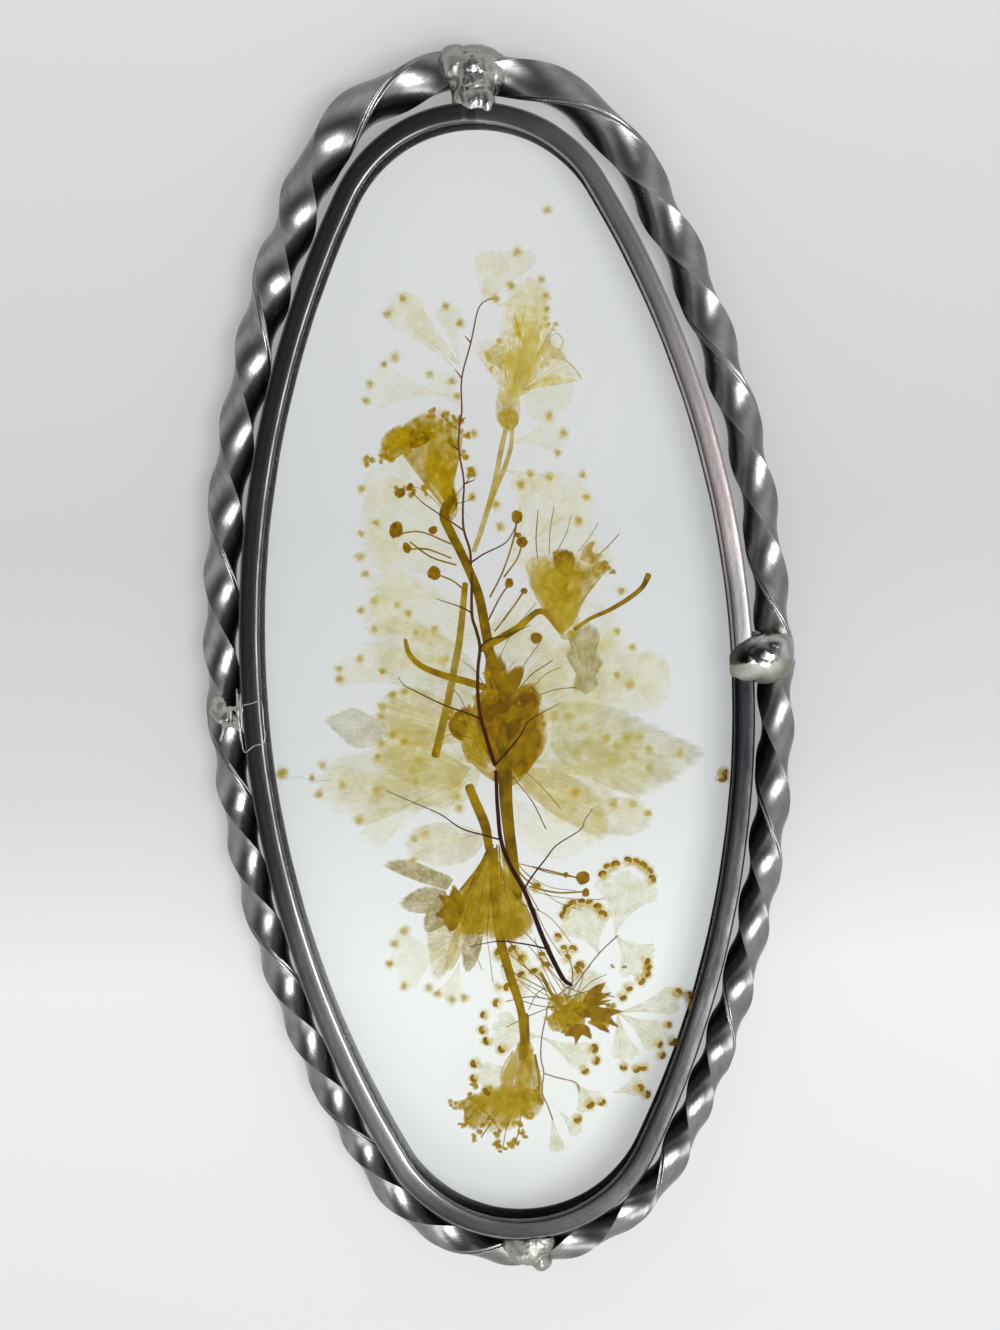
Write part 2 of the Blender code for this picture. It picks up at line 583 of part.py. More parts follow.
def petals_and_stems(parts):
    for name, (layer, outline) in PETALS.items():
        petal = blade(name, outline, layer, parts)
        petal.data.materials.append(finish("petal"))
    for name, (layer, points) in STEMS.items():
        stem = flat_stems(name, [points], layer, parts)
        stem.data.materials.append(finish("ochre"))


def bud_sprigs(parts, cutters):
    for name, (layer, stalks, buds) in BUD_SPRIGS.items():
        widths = [[(x, y, BUD_STALK_HALF_WIDTH) for x, y in stalk] for stalk in stalks]
        sprig = flat_stems(name, widths, layer, parts)
        for x, y, radius in buds:
            corners = [2 * math.pi * i / BUD_SIDES for i in range(BUD_SIDES)]
            outline = [(x + radius * math.cos(a), y + radius * math.sin(a)) for a in corners]
            sprig = combine(sprig, blade("bud", outline, layer, cutters), "UNION")
        sprig.data.materials.append(finish("brown"))


def centre_on_base(parts):
    """Move everything so that the origin is under the middle of the whole frame's box."""
    bpy.context.view_layer.update()
    corners = [obj.matrix_world @ vert.co for obj in parts.objects for vert in obj.data.vertices]
    low = [min(corner[axis] for corner in corners) for axis in range(3)]
    high = [max(corner[axis] for corner in corners) for axis in range(3)]
    base = bpy.data.objects.new("base", None)
    bpy.context.scene.collection.objects.link(base)
    base.location = (-(low[0] + high[0]) / 2, -(low[1] + high[1]) / 2, -low[2])
    for obj in parts.objects:
        obj.parent = base


def main():
    clear_scene()
    parts, cutters = make_collections()
    rim(parts, cutters)
    panes(parts)
    bar = border_bar("twisted_border", parts, 0)
    bar.data.materials.append(finish("pewter"))
    solder_joints(parts, cutters)
    fern_stalk(parts)
    fern_leaflets(parts)
    fern_sprig(parts, cutters)
    flowers(parts, cutters)
    petals_and_stems(parts)
    bud_sprigs(parts, cutters)
    centre_on_base(parts)


main()
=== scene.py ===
"""Looks of the pressed flower frame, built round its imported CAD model.

Places are in millimetres from the middle of the oval opening, or in pixels of the photograph where a
list was read from it; spot() turns those into millimetres. Lengths become metres in Shape.build().
"""

import math
import random

import bpy
import numpy as np
from mathutils import Matrix, Vector, noise


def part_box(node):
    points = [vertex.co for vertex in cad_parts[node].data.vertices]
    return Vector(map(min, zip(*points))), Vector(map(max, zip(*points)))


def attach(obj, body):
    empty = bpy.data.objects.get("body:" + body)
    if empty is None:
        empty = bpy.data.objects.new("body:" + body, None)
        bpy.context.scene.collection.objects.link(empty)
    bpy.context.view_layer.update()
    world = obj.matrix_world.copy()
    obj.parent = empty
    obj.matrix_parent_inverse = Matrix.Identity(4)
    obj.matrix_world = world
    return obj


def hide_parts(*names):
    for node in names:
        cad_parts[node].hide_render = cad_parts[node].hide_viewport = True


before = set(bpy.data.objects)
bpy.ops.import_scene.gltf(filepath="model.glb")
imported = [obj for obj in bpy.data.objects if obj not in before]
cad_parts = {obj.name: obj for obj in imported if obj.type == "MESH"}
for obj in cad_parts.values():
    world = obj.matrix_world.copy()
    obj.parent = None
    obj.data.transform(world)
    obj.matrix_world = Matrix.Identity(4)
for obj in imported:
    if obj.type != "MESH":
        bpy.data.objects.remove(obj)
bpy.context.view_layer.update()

MM = 0.001
RIM_LOW, RIM_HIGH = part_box("came_rim")
CENTRE = (RIM_LOW + RIM_HIGH) / 2
RIM_DEPTH = (RIM_HIGH.z - RIM_LOW.z) / MM
BACK_PANE_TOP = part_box("glass_back")[1].z / MM

# The oval opening, of four arcs.
RIM_WIDTH = 2.1
HALF_WIDTH = (RIM_HIGH.x - RIM_LOW.x) / 2 / MM - RIM_WIDTH
HALF_LENGTH = (RIM_HIGH.y - RIM_LOW.y) / 2 / MM - RIM_WIDTH
END_RADIUS = 13.4
SIDE_RADIUS = ((HALF_WIDTH ** 2 + (HALF_LENGTH - END_RADIUS) ** 2 - END_RADIUS ** 2)
               / (2 * (HALF_WIDTH - END_RADIUS)))
SIDE_ANGLE = math.atan2(HALF_LENGTH - END_RADIUS, SIDE_RADIUS - HALF_WIDTH)
END_ARC = END_RADIUS * (math.pi / 2 - SIDE_ANGLE)
SIDE_ARC = SIDE_RADIUS * SIDE_ANGLE
PERIMETER = 4 * (END_ARC + SIDE_ARC)

# The photograph: its height in pixels, pixel of the opening's middle, the frame's lean to the left, and
# pixels to a millimetre at the depth of the plants and at the rim's face.
PHOTO_HEIGHT = 1330
PHOTO_MIDDLE = (495.9, 674.9)
PHOTO_LEAN = 0.0533
PHOTO_SCALE = 9.79
PHOTO_FRONT_SCALE = 9.88

# Layers of the pressed plants, counted from the back pane.
FIRST_LAYER = BACK_PANE_TOP + 0.14
LAYER_PITCH = 0.185

# The twisted bar, as in the CAD source.
SEAM_TO_FRONT = (9.6, 35.4, 59.5, 81.3, 100.6, 117.9, 133.6, 149.8, 168.7, 187.7, 208.9, 232.2, 254.2)
BORDER_START = 1.2
BORDER_END = PERIMETER - 1.2
BORDER_HEIGHT = 3.2
BORDER_TRACK = (
    (0.0, 5.6, 2.35), (20.0, 5.4, 2.3), (41.0, 4.9, 2.1), (59.0, 4.45, 2.0), (77.0, 4.3, 1.95),
    (97.0, 4.2, 1.85), (113.0, 4.1, 1.72), (124.0, 3.9, 1.6), (144.0, 3.9, 1.6), (156.0, 4.05, 1.74),
    (180.0, 4.12, 1.86), (201.0, 4.25, 1.95), (222.0, 4.5, 2.1), (240.0, 5.0, 2.4), (252.0, 5.7, 2.6),
    (PERIMETER, 5.6, 2.35),
)
# Seam profile, as degrees from its middle and share of the bar's radius: two ridges and a groove.
SEAM = ((-10.5, 0.955), (-8.5, 0.985), (-5.5, 0.985), (-3.6, 0.93), (0, 0.915), (3.6, 0.93), (5.5, 0.985),
        (8.5, 0.985), (10.5, 0.955))
# Height of the middle of the bar's faces, as a share of its radius.
FACE_MIDDLE = 0.73

# Fineness of the swept metal pieces in steps round the oval, and of the solder's skin in millimetres.
RIM_STEPS = 560
BORDER_STEPS = 1150
SOLDER_VOXEL = 0.11

# Plant tissue in millimetres: a leaflet's thickness, and how far a petal waves up and down.
LEAF_THICKNESS = 0.03
PETAL_LIFT = 0.05
# How far each forking of a leaflet's veins reaches, as a share of its length.
VEIN_REACH = (0.34, 0.24, 0.22)
# Half width of a spore case as a share of its size.
BEAN_FATNESS = 0.42

# Camera, lamps and floor, in metres from the frame's middle, and the lamps' power in watts.
CAMERA_DISTANCE = 0.27
CAMERA_OFFSET = (0.012, 0.010)
AIM_OFFSET = (0.00047, 0.00098)
KEY_PLACE = (0.235, -0.15, 0.62)
KEY_SIZE = 0.3
KEY_POWER = 4.0
FILL_PLACE = (0.0, -0.5, 0.5)
FILL_SIZE = (0.5, 0.25)
FILL_POWER = 1.5
STUDIO_STRENGTH = 1.15
FLOOR_REACH = 3.0

# Fan-shaped leaflets, as in the CAD source: foot x and y, direction, length, half angle, layer.
LEAFLETS = (
    (0.4, 37.8, 69, 5.6, 22, 1), (2.0, 37.4, 13, 5.2, 26, 0), (-2.9, 31.6, 129, 9.0, 15, 0),
    (-2.2, 31.8, 98, 6.4, 13, 0), (-3.4, 28.6, 168, 8.6, 17, 1), (-4.5, 18.1, 167, 8.7, 15, 1),
    (-4.8, 13.5, 180, 8.5, 18, 0), (-5.3, 3.9, 158, 8.8, 17, 0), (-10.2, -0.5, 163, 6.5, 15, 1),
    (2.4, 23.4, 9, 5.9, 20, 0), (3.2, 14.6, 82, 5.7, 16, 0), (4.6, 13.6, 40, 7.8, 15, 1),
    (8.6, 8.4, 51, 5.4, 22, 0), (8.4, 0.9, 24, 5.6, 18, 1), (-3.6, -6.4, 156, 9.0, 20, 0),
    (-7.3, -10.6, -176, 11.5, 15, 1), (-6.3, -12.4, -160, 9.4, 14, 0), (-2.9, -16.4, -178, 6.4, 15, 1),
    (-6.4, -28.2, -172, 6.4, 34, 0), (-5.4, -29.4, -108, 4.4, 22, 1), (3.6, -9.4, 41, 7.0, 18, 1),
    (4.6, -10.6, 8, 10.4, 15, 0), (4.4, -12.4, -37, 7.7, 16, 0), (9.2, -15.0, 5, 5.6, 20, 1),
)
# Further leaflets that lie on those: foot and middle of the arc in photograph pixels, half angle, layer.
MORE_LEAFLETS = (
    ((461, 410), (430, 378), 22, 1), ((442, 600), (376, 582), 20, 0), ((470, 700), (402, 640), 16, 1),
    ((476, 765), (380, 742), 12, 0), ((520, 700), (585, 655), 16, 0), ((530, 720), (600, 690), 18, 1),
    ((545, 770), (655, 778), 13, 1), ((520, 780), (575, 815), 24, 0), ((470, 780), (425, 812), 22, 0),
    ((470, 520), (378, 440), 9, 0), ((500, 470), (560, 490), 14, 0), ((470, 660), (350, 660), 8, 0),
)

# The small sprig: stems in pixels; leaflets as foot x and y, direction, length and half angle.
SPRIG_UPPER_STEMS = (((572, 991), (596, 958), (617, 937)),)
SPRIG_UPPER_LEAFLETS = (
    (10.7, -27.3, 75, 6.7, 34), (8.9, -29.2, 109, 5.3, 38), (10.65, -27.35, -51, 4.8, 33),
)
SPRIG_LOWER_STEMS = (
    (
        (568, 989), (549, 1006), (545, 1020), (541, 1040), (540, 1061), (543, 1077), (541, 1095),
        (547, 1110), (552, 1124),
    ),
    ((543, 1077), (556, 1081), (575, 1086), (579, 1094)), ((566, 990), (595, 1001), (618, 1015)),
)
SPRIG_LOWER_LEAFLETS = (
    (10.5, -35.3, -85, 5.2, 18), (10.5, -35.35, 9, 6.7, 14), (10.5, -35.35, -34, 5.6, 20),
    (2.6, -37.5, -30, 5.6, 18), (5.7, -42.35, -55, 3.4, 30), (2.6, -37.5, 171, 5.3, 30),
    (2.55, -41.0, -178, 7.0, 12), (3.2, -45.7, -84, 3.9, 14), (4.0, -45.2, -52, 3.2, 16),
    (9.6, -43.6, 11, 3.3, 22),
)

# Spore cases in photograph pixels: sharp ones on the sprig, each with the foot of its leaflet.
SHARP_SORI = (
    (
        (617, 935),
        ((602, 876), (607, 869), (615, 866), (627, 862), (635, 863), (642, 867), (648, 873), (651, 880)),
    ),
    ((599, 951), ((563, 917), (566, 910), (572, 906), (581, 904), (589, 905), (597, 909), (602, 916))),
    ((617, 939), ((645, 962), (647, 968), (646, 975), (640, 982), (628, 989), (622, 998))),
    ((624, 1022), ((623, 1069), (636, 1071), (643, 1069))),
    ((620, 1013), ((677, 994), (688, 997), (690, 1006))),
    ((620, 1018), ((667, 1027), (672, 1043), (658, 1046), (661, 1057))),
    ((543, 1040), ((593, 1051), (595, 1063), (584, 1073))),
    ((575, 1086), ((589, 1107), (601, 1105), (577, 1122))), ((612, 1100), ((639, 1091), (646, 1097))),
    ((540, 1035), ((496, 1006), (483, 1018), (482, 1033), (486, 1044), (501, 1052))),
    ((541, 1070), ((474, 1067), (473, 1082), (487, 1095), (523, 1050))),
    (
        (550, 990),
        (
            (536, 889), (557, 939), (572, 951), (541, 958), (566, 960), (575, 972), (563, 951), (521, 961),
            (521, 978), (498, 955), (512, 952), (545, 968), (579, 968), (534, 975), (507, 990),
        ),
    ),
    ((700, 760), ((722, 772), (721, 778))),
)
GREEN_SORI = ((613, 967), (624, 970))
FAINT_SORI = (
    (516, 255), (510, 289), (540, 282), (494, 301), (545, 298), (545, 312), (402, 300), (386, 316),
    (445, 308), (459, 325), (383, 366), (394, 359), (369, 386), (429, 376), (451, 383), (456, 398),
    (365, 402), (365, 462), (360, 490), (375, 524), (360, 535), (358, 558), (364, 575), (360, 612),
    (373, 601), (396, 606), (407, 614), (548, 418), (562, 435), (556, 454), (529, 475), (548, 479),
    (581, 476), (520, 486), (585, 498), (473, 435), (464, 458), (452, 458), (471, 473), (471, 498),
    (454, 498), (495, 506), (499, 528), (577, 522), (603, 571), (620, 592), (373, 631), (414, 634),
    (433, 630), (358, 660), (337, 670), (338, 681), (381, 673), (443, 661), (391, 696), (403, 693),
    (380, 708), (379, 718), (391, 736), (403, 743), (376, 759), (380, 746), (418, 762), (414, 784),
    (411, 772), (320, 767), (310, 780), (317, 796), (340, 787), (375, 792), (357, 822), (616, 632),
    (631, 648), (616, 676), (629, 686), (575, 688), (553, 717), (567, 717), (582, 729), (587, 743),
    (605, 739), (615, 746), (627, 739), (638, 738), (648, 750), (648, 768), (679, 754), (577, 754),
    (575, 794), (613, 805), (632, 805), (647, 814), (423, 836), (413, 841), (456, 798), (458, 810),
    (411, 863), (417, 873), (403, 934), (393, 947), (388, 967), (402, 990), (427, 991), (436, 997),
    (450, 1003), (463, 1001), (546, 213), (497, 960), (522, 960), (497, 990), (517, 990), (278, 777),
    (281, 774),
)

# Dark fern stalk from its cut end upwards, in photograph pixels with its half width in millimetres.
STALK = (
    (
        (571, 987, 0.16), (563, 981, 0.23), (553, 963, 0.25), (542, 939, 0.25), (532, 913, 0.24),
        (523, 891, 0.23), (509, 866, 0.22), (500, 841, 0.21), (497, 813, 0.2), (496, 799, 0.19),
        (495, 772, 0.18),
    ),
    (
        (494, 766, 0.2), (487, 744, 0.19), (480, 719, 0.18), (477, 696, 0.18), (477, 670, 0.17),
        (479, 648, 0.17), (475, 630, 0.16), (471, 615, 0.15), (471, 574, 0.14),
    ),
    (
        (470, 566, 0.13), (469, 551, 0.13), (463, 531, 0.12), (462, 510, 0.11), (463, 482, 0.1),
        (458, 451, 0.1), (459, 424, 0.09), (461, 412, 0.09), (461, 380, 0.08), (470, 345, 0.08),
        (477, 313, 0.07), (484, 304, 0.06), (492, 301, 0.05),
    ),
)
# Side branches of each part of the stalk, in pixels.
BRANCHES = (
    (
        ((545, 950), (526, 946), (501, 943), (485, 945), (468, 949)),
        ((523, 891), (531, 878), (544, 861), (556, 846), (579, 831), (584, 821), (592, 809)),
        ((500, 841), (489, 838), (461, 830), (440, 816), (415, 805), (385, 792)),
    ),
    (
        ((494, 766), (507, 752), (521, 734), (529, 721), (559, 704)),
        ((480, 720), (466, 714), (443, 706), (416, 693), (403, 686), (397, 678)),
        ((479, 648), (489, 640), (507, 636), (529, 626)), ((471, 614), (460, 608), (436, 600)),
    ),
    (
        ((471, 563), (483, 555), (503, 545), (511, 535), (517, 522)),
        ((462, 531), (449, 522), (422, 504), (409, 490)), ((464, 485), (474, 481)),
        ((458, 452), (448, 444)), ((461, 380), (454, 371)), ((459, 424), (465, 419)),
        ((470, 345), (464, 338)),
    ),
)
BRANCH_HALF_WIDTH = 0.085
# Thin pale thread from the leaf at the left to the rim.
LOOSE_THREAD = ((326, 782), (312, 783), (298, 779), (286, 780), (279, 778))

# Bare stems: layer, and points in photograph pixels with half widths in millimetres.
STEMS = {
    "stem_left": (
        1, ((464, 585, 0.3), (459, 636, 0.36), (454, 665, 0.38), (446, 706, 0.4), (434, 757, 0.42)),
    ),
    "stem_short": (2, ((468, 788, 0.45), (474, 803, 0.48), (484, 827, 0.5), (488, 850, 0.42))),
    "stem_curved_right": (
        4,
        (
            (647, 576, 0.32), (641, 588, 0.25), (628, 599, 0.24), (608, 611, 0.22), (590, 619, 0.2),
            (574, 630, 0.22),
        ),
    ),
    "stem_curved_left": (
        2,
        (
            (404, 641, 0.2), (408, 655, 0.26), (420, 667, 0.3), (441, 676, 0.34), (466, 683, 0.38),
            (494, 692, 0.36),
        ),
    ),
}

# Petals of each flower: which of its looks they have, and their outline in pixels from the foot on.
FLOWER_PETALS = {
    "flower_top": (
        (
            0,
            (
                (507, 395), (494, 384), (484, 368), (473, 352), (478, 341), (491, 338), (503, 344),
                (513, 351), (517, 370), (514, 390),
            ),
        ),
        (
            0,
            (
                (510, 396), (507, 362), (508, 330), (514, 310), (524, 299), (537, 303), (548, 312),
                (550, 330), (545, 350), (534, 376), (520, 394),
            ),
        ),
        (
            0,
            (
                (516, 396), (530, 376), (540, 352), (551, 337), (562, 339), (567, 350), (573, 364),
                (583, 381), (566, 378), (549, 377), (536, 386), (523, 398),
            ),
        ),
        (
            1,
            (
                (506, 398), (503, 374), (507, 352), (520, 343), (534, 350), (538, 370), (530, 388),
                (518, 399),
            ),
        ),
        (1, ((510, 392), (519, 352), (528, 328), (540, 330), (536, 356), (522, 390))),
        (1, ((500, 372), (486, 362), (484, 352), (494, 346), (508, 350), (514, 362), (508, 372))),
        (0, ((524, 350), (512, 334), (510, 318), (520, 312), (530, 322), (532, 340))),
        (
            1,
            (
                (538, 352), (546, 336), (554, 326), (550, 344), (560, 352), (566, 362), (552, 362),
                (544, 364),
            ),
        ),
        (
            1,
            (
                (506, 434), (496, 424), (494, 408), (497, 392), (507, 388), (517, 391), (520, 406),
                (519, 421), (513, 431),
            ),
        ),
        (2, ((507, 432), (498, 424), (496, 414), (506, 408), (517, 413), (518, 424), (513, 430))),
        (0, ((506, 412), (496, 398), (499, 384), (512, 382), (520, 394), (517, 406))),
    ),
    "flower_upper_left": (
        (
            0,
            (
                (450, 524), (441, 502), (429, 487), (413, 470), (399, 452), (394, 436), (407, 424),
                (426, 416), (446, 420), (455, 438), (452, 462), (455, 490), (458, 512),
            ),
        ),
        (
            0,
            (
                (448, 516), (438, 490), (424, 466), (414, 441), (418, 416), (432, 407), (450, 410),
                (461, 422), (463, 439), (454, 460), (449, 482), (455, 506),
            ),
        ),
        (1, ((445, 505), (430, 484), (420, 466), (424, 452), (440, 450), (450, 466), (450, 488))),
        (1, ((404, 454), (390, 462), (378, 458), (379, 446), (386, 434), (398, 424), (409, 432))),
        (0, ((420, 440), (402, 440), (398, 430), (408, 420), (424, 412), (436, 414), (434, 430))),
        (1, ((402, 448), (388, 452), (378, 444), (388, 430), (402, 428), (410, 438))),
        (2, ((450, 516), (441, 498), (440, 486), (448, 478), (454, 492), (457, 506))),
        (2, ((424, 446), (410, 450), (404, 440), (410, 430), (424, 428), (430, 438))),
    ),
    "flower_right": (
        (
            0,
            (
                (560, 636), (545, 616), (532, 594), (523, 570), (531, 558), (545, 552), (556, 557),
                (562, 580), (564, 610),
            ),
        ),
        (
            0,
            (
                (559, 636), (556, 602), (553, 575), (560, 553), (575, 549), (589, 556), (608, 566),
                (594, 582), (583, 604), (572, 626),
            ),
        ),
        (
            0,
            (
                (560, 634), (541, 604), (530, 577), (546, 560), (568, 556), (584, 568), (580, 600),
                (568, 628),
            ),
        ),
        (1, ((556, 622), (545, 590), (548, 570), (562, 563), (578, 573), (578, 596), (568, 622))),
        (2, ((562, 578), (553, 568), (552, 556), (562, 549), (573, 554), (574, 566), (570, 576))),
        (1, ((528, 578), (524, 566), (534, 556), (550, 560), (552, 584), (545, 604), (534, 594))),
        (0, ((590, 572), (596, 562), (610, 562), (604, 570), (596, 580))),
        (0, ((578, 560), (584, 546), (596, 540), (592, 552), (604, 556), (592, 566))),
        (1, ((560, 640), (552, 620), (556, 600), (572, 604), (580, 624), (572, 640))),
    ),
    "flower_centre": (
        (
            1,
            (
                (504, 787), (484, 778), (466, 758), (460, 732), (468, 708), (484, 697), (499, 702),
                (506, 730), (508, 762),
            ),
        ),
        (
            1,
            (
                (503, 787), (506, 755), (510, 726), (520, 706), (535, 699), (546, 716), (546, 745),
                (531, 769), (515, 786),
            ),
        ),
        (
            0,
            (
                (500, 778), (484, 752), (474, 722), (478, 696), (496, 686), (522, 690), (538, 706),
                (536, 730), (522, 756), (508, 778),
            ),
        ),
        (
            0,
            (
                (494, 724), (486, 694), (483, 668), (488, 652), (500, 654), (509, 676), (508, 702),
                (503, 722),
            ),
        ),
        (0, ((504, 718), (514, 700), (524, 684), (537, 689), (541, 706), (530, 720), (516, 724))),
        (
            2,
            (
                (500, 742), (484, 728), (482, 708), (492, 698), (510, 698), (524, 708), (522, 728),
                (510, 742),
            ),
        ),
        (0, ((452, 738), (447, 726), (454, 712), (468, 706), (476, 716), (470, 732), (462, 742))),
        (1, ((466, 764), (460, 744), (466, 726), (480, 724), (488, 742), (484, 764))),
        (2, ((514, 722), (512, 704), (518, 692), (530, 690), (538, 698), (534, 712), (524, 720))),
        (2, ((492, 700), (487, 680), (490, 664), (498, 668), (503, 686), (500, 702))),
        (0, ((506, 700), (504, 680), (514, 666), (524, 668), (520, 684), (512, 698))),
        (0, ((510, 770), (520, 745), (534, 728), (544, 738), (534, 762), (520, 778))),
        (1, ((470, 712), (478, 694), (492, 688), (494, 702), (484, 716))),
        (2, ((520, 738), (524, 716), (536, 706), (541, 722), (534, 738))),
    ),
    "flower_lower_left": (
        (
            0,
            (
                (491, 846), (472, 878), (457, 897), (441, 915), (450, 936), (474, 941), (494, 934),
                (500, 904), (498, 872),
            ),
        ),
        (
            0,
            (
                (492, 850), (502, 882), (517, 902), (533, 921), (529, 940), (506, 948), (486, 938),
                (481, 905), (485, 872),
            ),
        ),
        (
            1,
            (
                (446, 892), (424, 886), (402, 878), (380, 867), (392, 860), (412, 862), (436, 872),
                (452, 880),
            ),
        ),
        (1, ((446, 906), (424, 916), (405, 914), (396, 906), (408, 894), (424, 888), (444, 892))),
        (
            3,
            (
                (459, 938), (454, 958), (440, 982), (430, 980), (426, 956), (424, 934), (440, 926),
                (456, 928),
            ),
        ),
        (1, ((482, 938), (479, 956), (470, 974), (462, 972), (460, 950), (466, 936))),
        (3, ((470, 930), (462, 952), (450, 974), (442, 972), (446, 948), (456, 930))),
        (1, ((440, 930), (424, 935), (422, 920), (430, 905), (446, 902), (452, 918))),
        (
            2,
            (
                (460, 918), (455, 931), (447, 934), (443, 923), (433, 917), (441, 907), (436, 896),
                (447, 896), (452, 885), (460, 896), (464, 908),
            ),
        ),
        (2, ((456, 926), (446, 930), (440, 918), (448, 904), (460, 908))),
        (0, ((470, 938), (452, 930), (448, 908), (462, 892), (482, 886), (490, 910), (484, 934))),
        (0, ((506, 944), (496, 920), (498, 892), (510, 890), (524, 908), (528, 932))),
        (1, ((480, 900), (474, 884), (484, 872), (496, 880), (494, 898))),
        (0, ((490, 850), (478, 872), (468, 892), (480, 894), (490, 874))),
        (0, ((500, 850), (504, 876), (514, 896), (522, 894), (512, 872))),
    ),
    "flower_low_right": (
        (0, ((560, 1018), (549, 1012), (546, 1002), (556, 995), (570, 996), (574, 1008))),
        (0, ((566, 1016), (572, 1000), (585, 994), (600, 999), (596, 1012), (580, 1019))),
        (1, ((570, 1012), (590, 1004), (613, 1001), (600, 1008), (617, 1011), (604, 1018), (584, 1020))),
        (0, ((564, 1014), (560, 1030), (568, 1040), (582, 1036), (586, 1022), (576, 1012))),
        (
            1,
            (
                (588, 1016), (594, 1029), (610, 1036), (606, 1026), (620, 1030), (612, 1019), (624, 1013),
                (606, 1010),
            ),
        ),
        (0, ((556, 1012), (546, 1022), (550, 1034), (563, 1034), (568, 1020))),
        (2, ((560, 1008), (572, 1006), (582, 1014), (578, 1028), (564, 1030), (556, 1020))),
        (1, ((580, 1006), (590, 990), (606, 983), (602, 994), (612, 994), (598, 1004))),
        (1, ((574, 1026), (563, 1038), (573, 1040), (575, 1048), (582, 1038), (592, 1042), (588, 1028))),
        (2, ((572, 1012), (580, 1004), (594, 1006), (590, 1018), (578, 1022))),
    ),
    "flower_bottom": (
        (
            0,
            (
                (523, 1040), (510, 1060), (499, 1084), (496, 1108), (510, 1114), (524, 1106), (532, 1080),
                (531, 1056),
            ),
        ),
        (0, ((524, 1042), (520, 1070), (514, 1100), (524, 1118), (538, 1112), (544, 1092), (536, 1064))),
        (
            0,
            (
                (518, 1092), (495, 1094), (470, 1100), (448, 1108), (456, 1115), (480, 1114), (504, 1120),
                (518, 1110),
            ),
        ),
        (1, ((520, 1085), (504, 1104), (488, 1122), (480, 1136), (494, 1140), (510, 1130), (524, 1112))),
        (0, ((524, 1090), (520, 1110), (522, 1124), (534, 1124), (544, 1110), (541, 1096))),
        (1, ((516, 1094), (500, 1088), (482, 1092), (474, 1104), (484, 1112), (502, 1108))),
        (0, ((522, 1096), (506, 1098), (492, 1106), (496, 1120), (512, 1126), (528, 1116))),
        (1, ((512, 1052), (502, 1068), (498, 1084), (508, 1090), (518, 1072))),
        (1, ((524, 1112), (516, 1104), (520, 1094), (532, 1094), (538, 1106), (532, 1114))),
        (1, ((468, 1108), (462, 1122), (466, 1134), (476, 1130), (480, 1116))),
        (0, ((520, 1062), (516, 1046), (526, 1040), (534, 1050), (530, 1064))),
        (
            0,
            (
                (528, 1096), (508, 1088), (488, 1092), (470, 1098), (462, 1108), (474, 1120), (494, 1126),
                (514, 1124), (530, 1114),
            ),
        ),
        (1, ((500, 1096), (484, 1098), (474, 1108), (484, 1122), (500, 1120), (510, 1108))),
        (0, ((462, 1114), (474, 1104), (488, 1112), (486, 1128), (474, 1136), (464, 1128))),
        (1, ((500, 1112), (512, 1106), (522, 1116), (516, 1132), (504, 1136), (496, 1126))),
    ),
}
# Stems of the flowers, in pixels with half widths in millimetres.
FLOWER_STEMS = {
    "flower_top": (
        (
            (505, 430, 0.24), (500, 452, 0.26), (495, 478, 0.26), (489, 502, 0.26), (482, 526, 0.27),
            (473, 552, 0.24),
        ),
        ((511, 430, 0.2), (510, 448, 0.22), (504, 468, 0.24), (494, 492, 0.24), (487, 512, 0.2)),
    ),
    "flower_upper_left": (
        (
            (450, 500, 0.5), (443, 516, 0.5), (450, 534, 0.46), (463, 560, 0.44), (477, 594, 0.46),
            (484, 628, 0.5), (491, 668, 0.52),
        ),
    ),
    "flower_right": (
        ((560, 632, 0.3), (540, 612, 0.3), (518, 628, 0.36), (498, 640, 0.38), (481, 650, 0.36)),
    ),
    "flower_centre": (
        ((504, 765, 0.75), (505, 800, 0.66), (508, 832, 0.6), (512, 862, 0.55), (517, 900, 0.45)),
        ((500, 700, 0.5), (502, 740, 0.7), (504, 770, 0.74)),
    ),
    "flower_lower_left": (
        (
            (492, 852, 0.5), (494, 900, 0.5), (500, 944, 0.48), (510, 980, 0.44), (520, 1012, 0.42),
            (523, 1040, 0.4),
        ),
        ((488, 850, 0.2), (474, 880, 0.2), (462, 905, 0.16)),
    ),
    "flower_low_right": (((566, 1014, 0.22), (553, 1000, 0.2), (540, 975, 0.18)),),
    "flower_bottom": (
        ((524, 1018, 0.4), (524, 1046, 0.5), (522, 1062, 0.4)),
        ((534, 1058, 0.14), (538, 1080, 0.14), (538, 1100, 0.12)),
    ),
}

